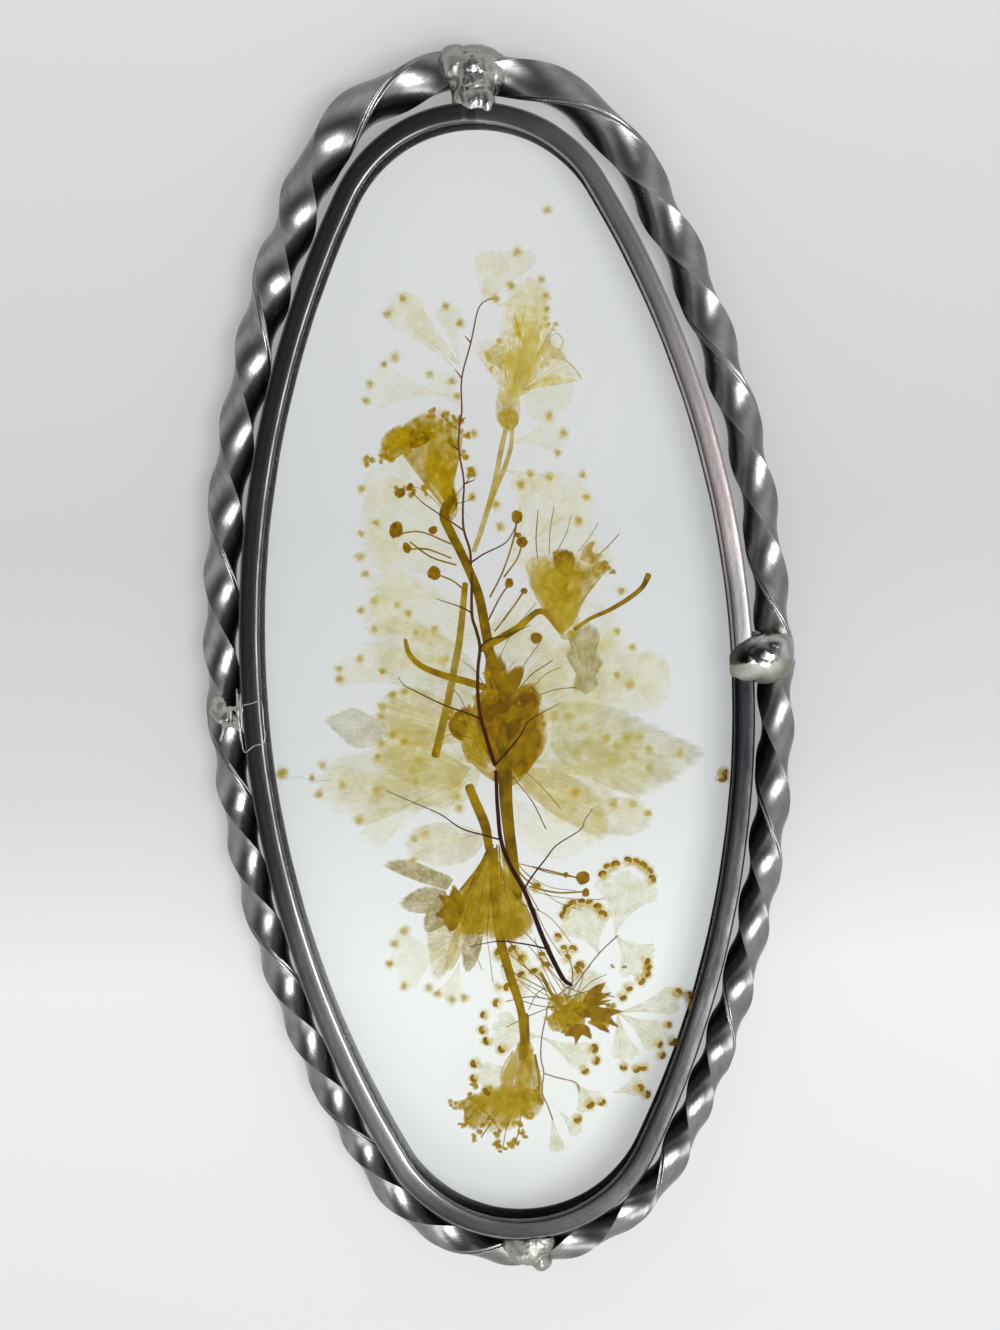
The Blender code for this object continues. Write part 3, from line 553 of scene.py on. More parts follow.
# Little round florets and beads on the flowers, in photograph pixels.
FLORETS = {
    "flower_top": (
        (486, 357), (500, 347), (503, 360), (516, 326), (520, 336), (543, 325), (538, 352), (551, 331),
        (533, 341), (525, 367), (543, 368), (493, 372),
    ),
    "flower_upper_left": (
        (430, 415), (443, 418), (457, 423), (417, 423), (407, 430), (423, 427), (437, 427), (450, 430),
        (463, 435), (397, 443), (410, 443), (420, 440), (387, 450), (382, 460), (393, 457), (368, 462),
        (450, 443), (463, 457), (470, 473), (410, 493), (398, 493), (423, 490), (433, 437), (404, 452),
    ),
    "flower_right": ((556, 556), (566, 560), (562, 588), (603, 566), (610, 571), (573, 638), (571, 600)),
    "flower_centre": (
        (517, 690), (528, 690), (536, 697), (520, 705), (530, 711), (509, 716), (470, 712), (478, 700),
        (494, 694), (462, 722), (540, 722), (486, 676), (503, 671), (452, 716),
    ),
    "flower_lower_left": ((446, 905), (452, 915), (444, 922), (456, 901), (448, 930), (460, 925)),
    "flower_low_right": (
        (563, 1014), (570, 1020), (558, 1024), (576, 1004), (592, 1024), (604, 1024), (566, 1030),
        (550, 1018), (586, 1008), (600, 1012), (612, 1008),
    ),
    "flower_bottom": (
        (453, 1108), (463, 1110), (470, 1100), (487, 1095), (480, 1113), (467, 1123), (463, 1130),
        (477, 1140), (490, 1122), (497, 1137), (500, 1152), (513, 1148), (493, 1146), (503, 1127),
        (517, 1127), (527, 1120), (537, 1107), (533, 1095), (523, 1105), (510, 1100), (475, 1090),
        (509, 1148), (485, 1130), (520, 1138),
    ),
}
# Threads of the flowers: stamens, bud stalks and hairs.
FILAMENTS = {
    "flower_top": (
        ((548, 340), (556, 336), (562, 344), (557, 353)), ((512, 345), (516, 330), (514, 318)),
        ((560, 360), (572, 369), (580, 381)),
    ),
    "flower_upper_left": (
        ((450, 520), (432, 500), (414, 488), (400, 494)), ((452, 500), (468, 480), (470, 474)),
        ((455, 505), (466, 502), (473, 498)),
    ),
    "flower_right": (
        ((537, 562), (535, 540), (537, 512)), ((548, 556), (549, 532), (553, 507)),
        ((590, 562), (603, 551), (618, 535)), ((596, 570), (604, 564), (612, 571)),
        ((556, 552), (565, 535), (570, 517)), ((578, 552), (590, 536), (597, 524)),
    ),
    "flower_centre": (
        ((520, 714), (512, 704), (516, 691), (529, 688), (538, 697), (534, 708), (524, 709)),
        ((505, 690), (507, 672), (516, 660)), ((468, 720), (460, 700), (452, 690)),
        ((530, 690), (545, 675), (560, 668)), ((486, 690), (474, 672), (462, 662)),
        ((505, 700), (519, 672), (540, 642)), ((508, 705), (528, 678), (552, 661)),
        ((500, 700), (487, 664), (478, 640)), ((530, 700), (552, 691), (575, 688)),
        ((472, 740), (452, 735), (436, 742)), ((520, 768), (541, 788), (560, 810)),
        ((512, 778), (531, 802), (545, 830)), ((498, 660), (512, 632), (535, 604)),
    ),
    "flower_lower_left": (
        ((488, 848), (500, 870), (506, 900)), ((497, 848), (484, 880), (478, 915)),
        ((493, 846), (476, 882), (462, 926)), ((498, 846), (500, 890), (496, 940)),
        ((500, 846), (511, 885), (518, 934)), ((502, 848), (520, 880), (538, 912)),
        ((492, 846), (470, 878), (450, 905)), ((496, 846), (490, 890), (486, 938)),
        ((504, 862), (530, 868), (548, 874), (576, 879)), ((515, 885), (545, 896), (580, 901), (604, 900)),
        ((520, 905), (548, 918), (570, 944)), ((506, 850), (525, 874), (548, 888), (575, 892)),
        ((508, 856), (534, 884), (556, 903), (582, 912)), ((512, 880), (532, 908), (546, 935), (560, 957)),
        ((500, 930), (514, 952), (530, 976)), ((520, 930), (537, 948), (552, 970)),
        ((486, 940), (489, 960), (492, 985)), ((478, 935), (475, 955), (481, 972)),
    ),
    "flower_low_right": (
        ((560, 1004), (548, 985), (530, 972)), ((572, 1002), (590, 984), (606, 976)),
        ((556, 1000), (540, 1000), (520, 985)), ((540, 960), (552, 975), (566, 990)),
        ((507, 955), (526, 970), (544, 985)), ((586, 1010), (604, 1006), (612, 1008)),
        ((566, 1000), (548, 972), (528, 948)), ((560, 1006), (536, 992), (508, 978)),
        ((562, 1010), (538, 1008), (512, 1000)), ((566, 1000), (556, 970), (548, 946)),
        ((568, 1000), (572, 976), (566, 952)), ((560, 1000), (530, 984), (500, 968)),
        ((528, 1012), (536, 996), (548, 988)), ((574, 1000), (582, 980), (578, 968)),
        ((566, 1000), (590, 993), (614, 999)), ((560, 1004), (531, 999), (505, 1004)),
        ((558, 1006), (529, 1018), (505, 1030)), ((566, 1002), (571, 985), (590, 968)),
        ((548, 1000), (538, 981), (520, 966)), ((558, 1000), (542, 968), (534, 940)),
    ),
    "flower_bottom": (
        ((500, 1112), (488, 1130), (480, 1142)), ((512, 1116), (505, 1135), (502, 1152)),
        ((520, 1118), (518, 1135), (514, 1148)), ((480, 1108), (470, 1120), (462, 1130)),
        ((470, 1104), (486, 1118), (500, 1136)),
    ),
}
# Outlines of the loose petals, in pixels from the foot on.
LOOSE_PETALS = {
    "petal_large_right": (
        (548, 745), (556, 706), (590, 703), (620, 708), (650, 722), (680, 737), (707, 752), (692, 770),
        (668, 787), (640, 797), (605, 788), (565, 768),
    ),
    "petal_left": (
        (386, 738), (384, 725), (366, 715), (349, 708), (333, 714), (321, 721), (334, 736), (350, 749),
        (370, 749),
    ),
    "petal_right": (
        (636, 690), (634, 670), (640, 652), (652, 652), (665, 660), (669, 675), (665, 692), (652, 706),
    ),
    "petal_grey": (
        (584, 696), (572, 684), (576, 668), (564, 655), (570, 644), (566, 630), (588, 622), (600, 634),
        (594, 648), (603, 662), (595, 674), (598, 686),
    ),
}
# Pale sheets of overlapping fern and petal behind the rest: look, layer, outline from the foot.
SHEETS = (
    (
        "pale", 0,
        ((588, 700), (594, 668), (618, 655), (650, 653), (668, 662), (670, 690), (656, 710), (620, 714)),
    ),
    ("pale", 0, ((494, 650), (512, 600), (540, 590), (590, 600), (620, 620), (612, 650), (560, 660))),
    ("cream", 1, ((500, 700), (486, 640), (500, 610), (530, 622), (560, 650), (566, 690), (536, 700))),
    (
        "cream", 0,
        (
            (480, 776), (462, 742), (430, 730), (395, 718), (372, 738), (360, 752), (330, 758), (312, 778),
            (320, 800), (340, 812), (352, 830), (380, 822), (405, 808), (440, 812), (470, 800),
        ),
    ),
    (
        "cream", 1,
        (
            (482, 700), (470, 660), (440, 632), (412, 618), (385, 612), (368, 640), (374, 670), (390, 684),
            (420, 700), (452, 714),
        ),
    ),
    (
        "gold", 1,
        (
            (474, 734), (452, 708), (424, 690), (400, 686), (380, 697), (374, 716), (386, 738), (410, 748),
            (440, 746), (462, 744),
        ),
    ),
    (
        "gold", 0,
        ((470, 770), (440, 752), (410, 740), (380, 748), (368, 764), (386, 778), (420, 790), (452, 792)),
    ),
    (
        "cream", 2,
        ((470, 776), (436, 760), (398, 762), (372, 778), (362, 800), (384, 816), (420, 812), (452, 800)),
    ),
    (
        "gold", 2,
        (
            (512, 772), (540, 768), (572, 776), (600, 796), (612, 822), (606, 842), (580, 832), (552, 816),
            (528, 796),
        ),
    ),
    (
        "cream", 0,
        ((590, 812), (606, 800), (630, 798), (650, 812), (652, 826), (634, 838), (606, 836), (590, 826)),
    ),
    ("pale", 0, ((512, 800), (548, 812), (584, 822), (592, 846), (566, 862), (536, 856), (514, 834))),
    (
        "cream", 1,
        ((482, 834), (452, 824), (420, 826), (402, 838), (404, 858), (430, 870), (462, 866), (480, 850)),
    ),
    (
        "cream", 2,
        (
            (520, 740), (548, 706), (590, 700), (624, 712), (650, 732), (640, 762), (606, 778), (566, 776),
            (534, 764),
        ),
    ),
    (
        "cream", 0,
        ((516, 720), (520, 680), (548, 650), (590, 636), (626, 644), (640, 680), (612, 706), (566, 722)),
    ),
    ("pale", 1, ((560, 760), (600, 730), (650, 736), (690, 752), (676, 778), (632, 792), (590, 786))),
    ("cream", 1, ((512, 790), (530, 762), (566, 760), (600, 774), (620, 798), (600, 806), (560, 806))),
    (
        "pale", 1,
        ((500, 640), (470, 600), (420, 580), (380, 566), (362, 590), (372, 624), (404, 640), (452, 652)),
    ),
    ("pale", 0, ((470, 560), (440, 500), (400, 476), (366, 486), (360, 530), (380, 566), (430, 576))),
    ("pale", 0, ((505, 560), (520, 500), (548, 470), (580, 480), (592, 520), (600, 566), (560, 590))),
    (
        "gold", 2,
        (
            (500, 846), (482, 872), (458, 900), (444, 930), (466, 946), (496, 944), (524, 934), (530, 910),
            (516, 876),
        ),
    ),
    ("cream", 1, ((560, 1000), (566, 980), (590, 970), (606, 980), (612, 1000), (590, 1012))),
    ("cream", 1, ((512, 1000), (500, 978), (500, 952), (516, 944), (530, 960), (532, 984), (522, 1004))),
    (
        "straw", 1,
        (
            (512, 380), (498, 352), (500, 318), (510, 286), (528, 276), (548, 284), (552, 312), (548, 344),
            (534, 372),
        ),
    ),
    (
        "pale", 0,
        ((484, 306), (476, 282), (474, 258), (496, 252), (530, 252), (534, 266), (512, 282), (494, 296)),
    ),
    (
        "pale", 0,
        ((462, 372), (436, 350), (400, 320), (384, 306), (394, 292), (412, 296), (428, 322), (450, 352)),
    ),
    ("pale", 1, ((520, 400), (530, 384), (556, 376), (572, 384), (570, 408), (546, 424), (528, 418))),
)

# Bud stalks, and buds as pixel x, y, radius across and along in millimetres, and their direction.
BUDS = {
    "buds_left": (
        (
            ((397, 535), (420, 533), (450, 545)), ((404, 551), (425, 550), (450, 559)),
            ((433, 574), (452, 582), (464, 592)), ((409, 543), (430, 558), (455, 566)),
        ),
        (
            (395, 531, 0.75, 0.95, 70), (406, 549, 0.45, 0.6, 110), (432, 531, 0.45, 0.5, 10),
            (433, 574, 0.75, 0.78, 40), (399, 494, 0.5, 0.6, 30), (409, 488, 0.35, 0.45, 60),
        ),
    ),
    "buds_right": (
        (
            ((516, 520), (512, 542), (502, 572), (489, 598)), ((521, 545), (516, 560), (503, 578)),
            ((508, 585), (498, 600), (486, 624)), ((523, 592), (512, 608), (494, 632)),
        ),
        (
            (516, 518, 0.6, 0.75, 90), (521, 543, 0.6, 0.62, 30), (508, 584, 0.45, 0.6, 70),
            (523, 592, 0.35, 0.4, 20), (535, 639, 0.62, 0.65, 10), (517, 536, 0.3, 0.4, 0),
        ),
    ),
    "buds_lower_right": (
        (
            ((580, 880), (556, 874), (531, 868)), ((583, 893), (556, 894), (528, 888)),
            ((535, 888), (524, 880), (514, 868)),
        ),
        ((582, 879, 0.75, 0.8, 0), (585, 894, 0.4, 0.5, 80), (565, 876, 0.3, 0.3, 0)),
    ),
}


def spot(x, y, scale=PHOTO_SCALE):
    """Millimetres from the opening's middle of a pixel of the photograph."""
    across = x - PHOTO_MIDDLE[0]
    up = PHOTO_MIDDLE[1] - y
    cos, sin = math.cos(PHOTO_LEAN), math.sin(PHOTO_LEAN)
    return (across * cos + up * sin) / scale, (up * cos - across * sin) / scale


def layer_z(layer):
    """Height of a layer of the pressed plants."""
    return FIRST_LAYER + LAYER_PITCH * layer


def rim_point(distance, out=0.0):
    """Point and outward direction at a distance round the opening, clockwise from the top."""
    distance = distance % PERIMETER
    half = PERIMETER / 2
    left = distance > half
    along = PERIMETER - distance if left else distance
    below = along > half / 2
    if below:
        along = half - along
    if along < END_ARC:
        angle = math.pi / 2 - along / END_RADIUS
        x = END_RADIUS * math.cos(angle)
        y = HALF_LENGTH - END_RADIUS + END_RADIUS * math.sin(angle)
    else:
        angle = SIDE_ANGLE - (along - END_ARC) / SIDE_RADIUS
        x = HALF_WIDTH - SIDE_RADIUS + SIDE_RADIUS * math.cos(angle)
        y = SIDE_RADIUS * math.sin(angle)
    nx, ny = math.cos(angle), math.sin(angle)
    if left:
        x, nx = -x, -nx
    if below:
        y, ny = -y, -ny
    return x + out * nx, y + out * ny, nx, ny


def smooth_between(rows, at):
    """Values of a table of rows at a place, eased from one row to the next."""
    for before, after in zip(rows, rows[1:]):
        if at <= after[0]:
            share = (at - before[0]) / (after[0] - before[0])
            ease = share * share * (3 - 2 * share)
            return [a + (b - a) * ease for a, b in zip(before[1:], after[1:])]
    return list(rows[-1][1:])


def smooth_line(points, steps):
    """Points of a smooth curve through the given ones, with their further values."""
    points = [np.array(p, float) for p in points]
    ends = [2 * points[0] - points[1]] + points + [2 * points[-1] - points[-2]]
    line = []
    for a, b, c, d in zip(ends, ends[1:], ends[2:], ends[3:]):
        for i in range(steps):
            t = i / steps
            line.append(0.5 * (2 * b + (c - a) * t + (2 * a - 5 * b + 4 * c - d) * t * t
                               + (3 * b - a - 3 * c + d) * t ** 3))
    return line + [points[-1]]


class Shape:
    """Gathers the surfaces of one piece, in millimetres, and makes the object."""

    def __init__(self):
        self.points = []
        self.faces = []
        self.marks = []
        self.uvs = []

    def add(self, points, faces, mark=0, uvs=None):
        start = len(self.points)
        self.points += [tuple(p) for p in points]
        self.faces += [tuple(start + i for i in face) for face in faces]
        self.marks += [mark] * len(faces)
        self.uvs += uvs if uvs else [(0.5, 0.5)] * len(points)

    def build(self, name, materials, replaces=(), sharp=None, shadow=False):
        mesh = bpy.data.meshes.new(name)
        placed = [(CENTRE.x + x * MM, CENTRE.y + y * MM, z * MM) for x, y, z in self.points]
        mesh.from_pydata(placed, [], self.faces)
        layer = mesh.uv_layers.new(name="UVMap")
        for loop in mesh.loops:
            layer.data[loop.index].uv = self.uvs[loop.vertex_index]
        for material in materials:
            mesh.materials.append(material)
        mesh.polygons.foreach_set("material_index", self.marks)
        mesh.polygons.foreach_set("use_smooth", [True] * len(mesh.polygons))
        mesh.update()
        if sharp:
            mesh.set_sharp_from_angle(angle=math.radians(sharp))
        obj = bpy.data.objects.new(name, mesh)
        bpy.context.scene.collection.objects.link(obj)
        obj.visible_shadow = shadow
        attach(obj, "root")
        if replaces:
            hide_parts(*replaces)


def grid_faces(rows, columns, loop_rows=False, loop_columns=False):
    """Quads of a grid of points, joined at its ends where asked."""
    faces = []
    for r in range(rows if loop_rows else rows - 1):
        for c in range(columns if loop_columns else columns - 1):
            a = r * columns + c
            b = r * columns + (c + 1) % columns
            below = (r + 1) % rows * columns
            faces.append((a, b, below + (c + 1) % columns, below + c))
    return faces


def add_tube(shape, line, sides=8, flat=0.6, mark=0):
    """A closed tube along points given as x, y, z and half width, flattened in height."""
    points = []
    uvs = []
    count = len(line)
    length = 0.0
    for i, (x, y, z, half) in enumerate(line):
        before = line[max(i - 1, 0)]
        after = line[min(i + 1, count - 1)]
        dx, dy = after[0] - before[0], after[1] - before[1]
        run = math.hypot(dx, dy) or 1.0
        if i:
            length += math.hypot(x - line[i - 1][0], y - line[i - 1][1])
        for k in range(sides):
            angle = 2 * math.pi * k / sides
            across, up = math.cos(angle) * half, math.sin(angle) * half * flat
            points.append((x - dy / run * across, y + dx / run * across, z + up))
            uvs.append((k / sides, length))
    faces = grid_faces(count, sides, loop_columns=True)
    faces.append(tuple(range(sides))[::-1])
    faces.append(tuple((count - 1) * sides + k for k in range(sides)))
    shape.add(points, faces, mark, uvs)


def with_tips(line):
    """The same line with a quick rounded taper at both ends."""
    first, last = line[0], line[-1]
    step = 0.6

    def tip(end, inner):
        dx, dy = end[0] - inner[0], end[1] - inner[1]
        run = math.hypot(dx, dy) or 1.0
        half = end[3]
        return [(end[0] + dx / run * half * step * s, end[1] + dy / run * half * step * s, end[2], half * w)
                for s, w in ((0.7, 0.75), (1.0, 0.3))]

    return tip(first, line[1])[::-1] + [tuple(p) for p in line] + tip(last, line[-2])


def photo_line(points, z, half=None, steps=5):
    """A smooth line through pixels, as x, y, z and half width."""
    rows = [(*spot(p[0], p[1]), z, p[2] if half is None else half) for p in points]
    return smooth_line(rows, steps)


def add_stem(shape, points, z, half=None, sides=8, flat=0.7, mark=0):
    """A stem or thread with tapered tips along a line of pixels."""
    add_tube(shape, with_tips(photo_line(points, z, half)), sides, flat, mark)


def ball_faces(rings, sides, start=0):
    """Faces of a closed ball whose points are its rings from the top down, then its top and its bottom."""
    top, under = (rings - 1) * sides, (rings - 1) * sides + 1
    last = (rings - 2) * sides
    faces = [face[::-1] for face in grid_faces(rings - 1, sides, loop_columns=True)]
    faces += [(top, k, (k + 1) % sides) for k in range(sides)]
    faces += [(under, last + (k + 1) % sides, last + k) for k in range(sides)]
    return [tuple(start + i for i in face) for face in faces]


def add_sheet(shape, grid, thickness, mark=0, uvs=None, loop=False):
    """A thin closed plate from a grid of points: its two faces and its edge."""
    rows, columns = len(grid), len(grid[0])
    top = [(x, y, z + thickness / 2) for row in grid for x, y, z in row]
    under = [(x, y, z - thickness / 2) for row in grid for x, y, z in row]
    count = rows * columns
    faces = grid_faces(rows, columns, loop_columns=loop)
    back = [tuple(count + i for i in face[::-1]) for face in faces]
    edge = []
    for c in range(columns if loop else columns - 1):
        n = (c + 1) % columns
        edge.append((c, count + c, count + n, n))
        last = (rows - 1) * columns
        edge.append((last + n, count + last + n, count + last + c, last + c))
    if not loop:
        for r in range(rows - 1):
            a, b = r * columns, (r + 1) * columns
            edge.append((b, count + b, count + a, a))
            a, b = a + columns - 1, b + columns - 1
            edge.append((a, count + a, count + b, b))
    flat = [uv for row in uvs for uv in row] if uvs else None
    shape.add(top + under, [f[::-1] for f in faces + back + edge], mark, flat * 2 if flat else None)


def crumple(x, y, seed, size, height):
    """Small smooth height, the same for the same place and seed."""
    return height * noise.noise(Vector((x / size, y / size, seed * 7.3)))


def add_leaflet(shape, x, y, direction, length, spread, z, seed):
    """A wedge-shaped fern leaflet with a lobed, slightly frilled edge and forking veins."""
    draw = random.Random(seed)
    foot = 0.075
    rows, columns = 15, 46
    lobes = draw.choice((3, 4, 4, 5))
    phase = draw.uniform(-0.4, 0.4)
    lean = draw.uniform(-0.18, 0.18)
    aim = math.radians(direction)
    wide = math.radians(spread)

    def reach(u):
        lobe = abs(math.sin(math.pi * (u * lobes + phase * 0.3)))
        corner = 1 - 0.13 * abs(2 * u - 1) ** 3 + lean * 0.3 * (u - 0.5)
        frill = 0.008 * math.sin(u * 61 + seed) + 0.014 * math.sin(u * 27 + seed * 3)
        return length * (0.93 + 0.07 * lobe ** 0.6 + frill) * corner

    def place(u, v):
        angle = aim + (u * 2 - 1) * wide * (0.42 + 0.7 * v ** 1.1) + lean * 0.3 * (v - 0.5)
        far = reach(u) * v
        side = (u * 2 - 1) * foot * (1 - v)
        px = x + far * math.cos(angle) - side * math.sin(aim)
        py = y + far * math.sin(angle) + side * math.cos(aim)
        lift = crumple(px, py, seed, 2.2, 0.045) + 0.02 * math.sin(u * 19 + seed) * v
        return px, py, z + max(-0.06, min(0.06, lift))

    uvs = [[(c / (columns - 1), (r / (rows - 1)) ** 0.85) for c in range(columns)] for r in range(rows)]
    grid = [[place(*uv) for uv in row] for row in uvs]
    add_sheet(shape, grid, LEAF_THICKNESS, 0, uvs)

    def vein(u, v, level):
        end = min(1.0, v + VEIN_REACH[level])
        spread_to = 0.25 / 2 ** level
        for sign in (-1, 1):
            far = u + sign * spread_to
            line = []
            for i in range(5):
                t = i / 4
                px, py, pz = place(u + (far - u) * min(1.0, t * 1.6) ** 0.8, v + (end - v) * t)
                line.append((px, py, pz + 0.012, 0.026 - 0.003 * level))
            add_tube(shape, line, sides=4, flat=0.7, mark=1)
            if level + 1 < len(VEIN_REACH) and end < 0.97:
                vein(far, end - 0.01, level + 1)

    vein(0.5, 0.03, 0)


def add_petal(shape, outline, z, seed, mark=0, vein_mark=1, veins=7, thickness=0.04):
    """A petal from its outline in pixels, which starts at its foot, with veins that run from there."""
    points = [spot(*p) for p in outline]
    closed = smooth_line(points + [points[0]], 6)[:-1]
    foot = np.array(points[0])
    middle = np.mean(points, axis=0)
    start = foot + (middle - foot) * 0.12
    columns = len(closed)
    rows = 9
    grid = []
    uvs = []
    for r in range(rows):
        v = 0.05 + 0.95 * r / (rows - 1)
        row = []
        for c, edge in enumerate(closed):
            frill = 1 + 0.02 * math.sin(c * 2.1 + seed) * v
            px, py = start + (np.array(edge) - start) * v * frill
            row.append((px, py, z + max(-0.07, min(0.07, crumple(px, py, seed, 1.6, PETAL_LIFT)))))
        grid.append(row)
        uvs.append([(c / columns, v) for c in range(columns)])
    add_sheet(shape, grid, thickness, mark, uvs, loop=True)
    # The hole in the middle is filled by a small cap.
    cap = len(grid[0])
    ring = [(p[0], p[1], p[2]) for p in grid[0]]
    heart = (float(start[0]), float(start[1]), z)
    for side, order in ((thickness / 2, 1), (-thickness / 2, -1)):
        rim = [(a, b, c + side) for a, b, c in ring] + [(heart[0], heart[1], heart[2] + side)]
        faces = [(i, (i + 1) % cap, cap)[::order] for i in range(cap)]
        shape.add(rim, faces, mark, [(0.5, 0.0)] * (cap + 1))
    for k in range(veins):
        target = closed[int((0.18 + 0.64 * k / max(veins - 1, 1)) * columns) % columns]
        line = []
        for i in range(7):
            t = 0.05 + 0.88 * i / 6
            px, py = start + (np.array(target) - start) * t
            bend = 0.06 * math.sin(t * 5 + k)
            height = z + crumple(px, py, seed, 1.6, PETAL_LIFT) + 0.015
            line.append((px + bend, py, height, 0.03 * (1.1 - 0.6 * t)))
        add_tube(shape, line, sides=4, flat=0.6, mark=vein_mark)


def add_bean(shape, x, y, z, size, turn, bow=70.0, mark=0):
    """A kidney-shaped spore case: a short fat bent tube with round ends, flattened."""
    line = []
    steps = 7
    for i in range(steps + 1):
        t = i / steps * 2 - 1
        angle = math.radians(turn + t * bow)
        far = size * 0.62
        half = size * BEAN_FATNESS * math.sqrt(max(0.02, 1 - (abs(t) ** 2.6) * 0.96))
        line.append((x + far * (math.cos(angle) - 0.35 * math.cos(math.radians(turn))),
                     y + far * (math.sin(angle) - 0.35 * math.sin(math.radians(turn))), z, half))
    add_tube(shape, line, sides=8, flat=min(0.4, 0.09 / (size * BEAN_FATNESS)), mark=mark)


def add_ball(shape, x, y, z, across, along, turn, seed, mark=0, height=0.1, rough=0.12):
    """A flattened round bud or floret with an uneven skin."""
    points = []
    uvs = []
    rings, sides = 7, 14
    cos, sin = math.cos(math.radians(turn)), math.sin(math.radians(turn))
    for r in range(1, rings):
        polar = math.pi * r / rings
        for k in range(sides):
            angle = 2 * math.pi * k / sides
            place = Vector((math.cos(angle) * 1.7, math.sin(angle) * 1.7, seed + r * 0.4))
            lump = (1 + rough * noise.noise(place)) * math.sin(polar)
            a = along * math.cos(angle) * lump
            b = across * math.sin(angle) * lump
            points.append((x + a * cos - b * sin, y + a * sin + b * cos, z + height * math.cos(polar)))
            uvs.append((k / sides, math.sin(polar)))
    points += [(x, y, z + height), (x, y, z - height)]
    shape.add(points, ball_faces(rings, sides), mark, uvs + [(0.5, 0.0)] * 2)


# Materials.

def new_material(name):
    """An empty Principled material, with its node tree and its shader."""
    material = bpy.data.materials.new(name)
    material.use_nodes = True
    tree = material.node_tree
    return material, tree, tree.nodes["Principled BSDF"]


def ramp(tree, factor, stops):
    """Colour ramp over a value: stops are place and colour."""
    made = tree.nodes.new("ShaderNodeValToRGB")
    made.color_ramp.elements[0].position = stops[0][0]
    made.color_ramp.elements[0].color = (*stops[0][1], 1)
    made.color_ramp.elements[1].position = stops[-1][0]
    made.color_ramp.elements[1].color = (*stops[-1][1], 1)
    for place, colour in stops[1:-1]:
        element = made.color_ramp.elements.new(place)
        element.color = (*colour, 1)
    tree.links.new(factor, made.inputs["Fac"])
    return made.outputs["Color"]


def maths(tree, kind, a, b=0.0, clamp=False):
    made = tree.nodes.new("ShaderNodeMath")
    made.operation = kind
    made.use_clamp = clamp
    for socket, value in zip(made.inputs, (a, b)):
        if isinstance(value, (int, float)):
            socket.default_value = value
        else:
            tree.links.new(value, socket)
    return made.outputs[0]


def axes(tree, source="Object"):
    """X, Y and Z of the shaded point in metres, or of its place on the UV map."""
    coordinates = tree.nodes.new("ShaderNodeTexCoord")
    parts = tree.nodes.new("ShaderNodeSeparateXYZ")
    tree.links.new(coordinates.outputs[source], parts.inputs[0])
    return parts.outputs


def fit_range(tree, value, start, end, low=0.0, high=1.0, smooth=False):
    """A value carried from one range over to another, and kept inside it."""
    made = tree.nodes.new("ShaderNodeMapRange")
    if smooth:
        made.interpolation_type = "SMOOTHSTEP"
    for socket, number in zip(("From Min", "From Max", "To Min", "To Max"), (start, end, low, high)):
        made.inputs[socket].default_value = number
    tree.links.new(value, made.inputs["Value"])
    return made.outputs["Result"]


def mix_colour(tree, share, first, second):
    mix = tree.nodes.new("ShaderNodeMix")
    mix.data_type = "RGBA"
    tree.links.new(share, mix.inputs[0])
    tree.links.new(first, mix.inputs[6])
    tree.links.new(second, mix.inputs[7])
    return mix.outputs[2]


def weighted(tree, first, second, share):
    """Sum of two values, the second with the given share."""
    rest = maths(tree, "MULTIPLY", first, 1.0 - share)
    return maths(tree, "ADD", rest, maths(tree, "MULTIPLY", second, share))


def grain(tree, scale, detail=4.0, roughness=0.55, stretch=(1, 1, 1), source="Object"):
    """Noise over the object's own coordinates, in waves to a metre, or over its UV map."""
    coordinates = tree.nodes.new("ShaderNodeTexCoord")
    mapping = tree.nodes.new("ShaderNodeMapping")
    mapping.inputs["Scale"].default_value = stretch
    tree.links.new(coordinates.outputs[source], mapping.inputs["Vector"])
    texture = tree.nodes.new("ShaderNodeTexNoise")
    texture.inputs["Scale"].default_value = scale
    texture.inputs["Detail"].default_value = detail
    texture.inputs["Roughness"].default_value = roughness
    tree.links.new(mapping.outputs["Vector"], texture.inputs["Vector"])
    return texture.outputs["Fac"]


def add_bump(tree, shader, height, distance):
    bump = tree.nodes.new("ShaderNodeBump")
    bump.inputs["Distance"].default_value = distance
    tree.links.new(height, bump.inputs["Height"])
    tree.links.new(bump.outputs["Normal"], shader.inputs["Normal"])


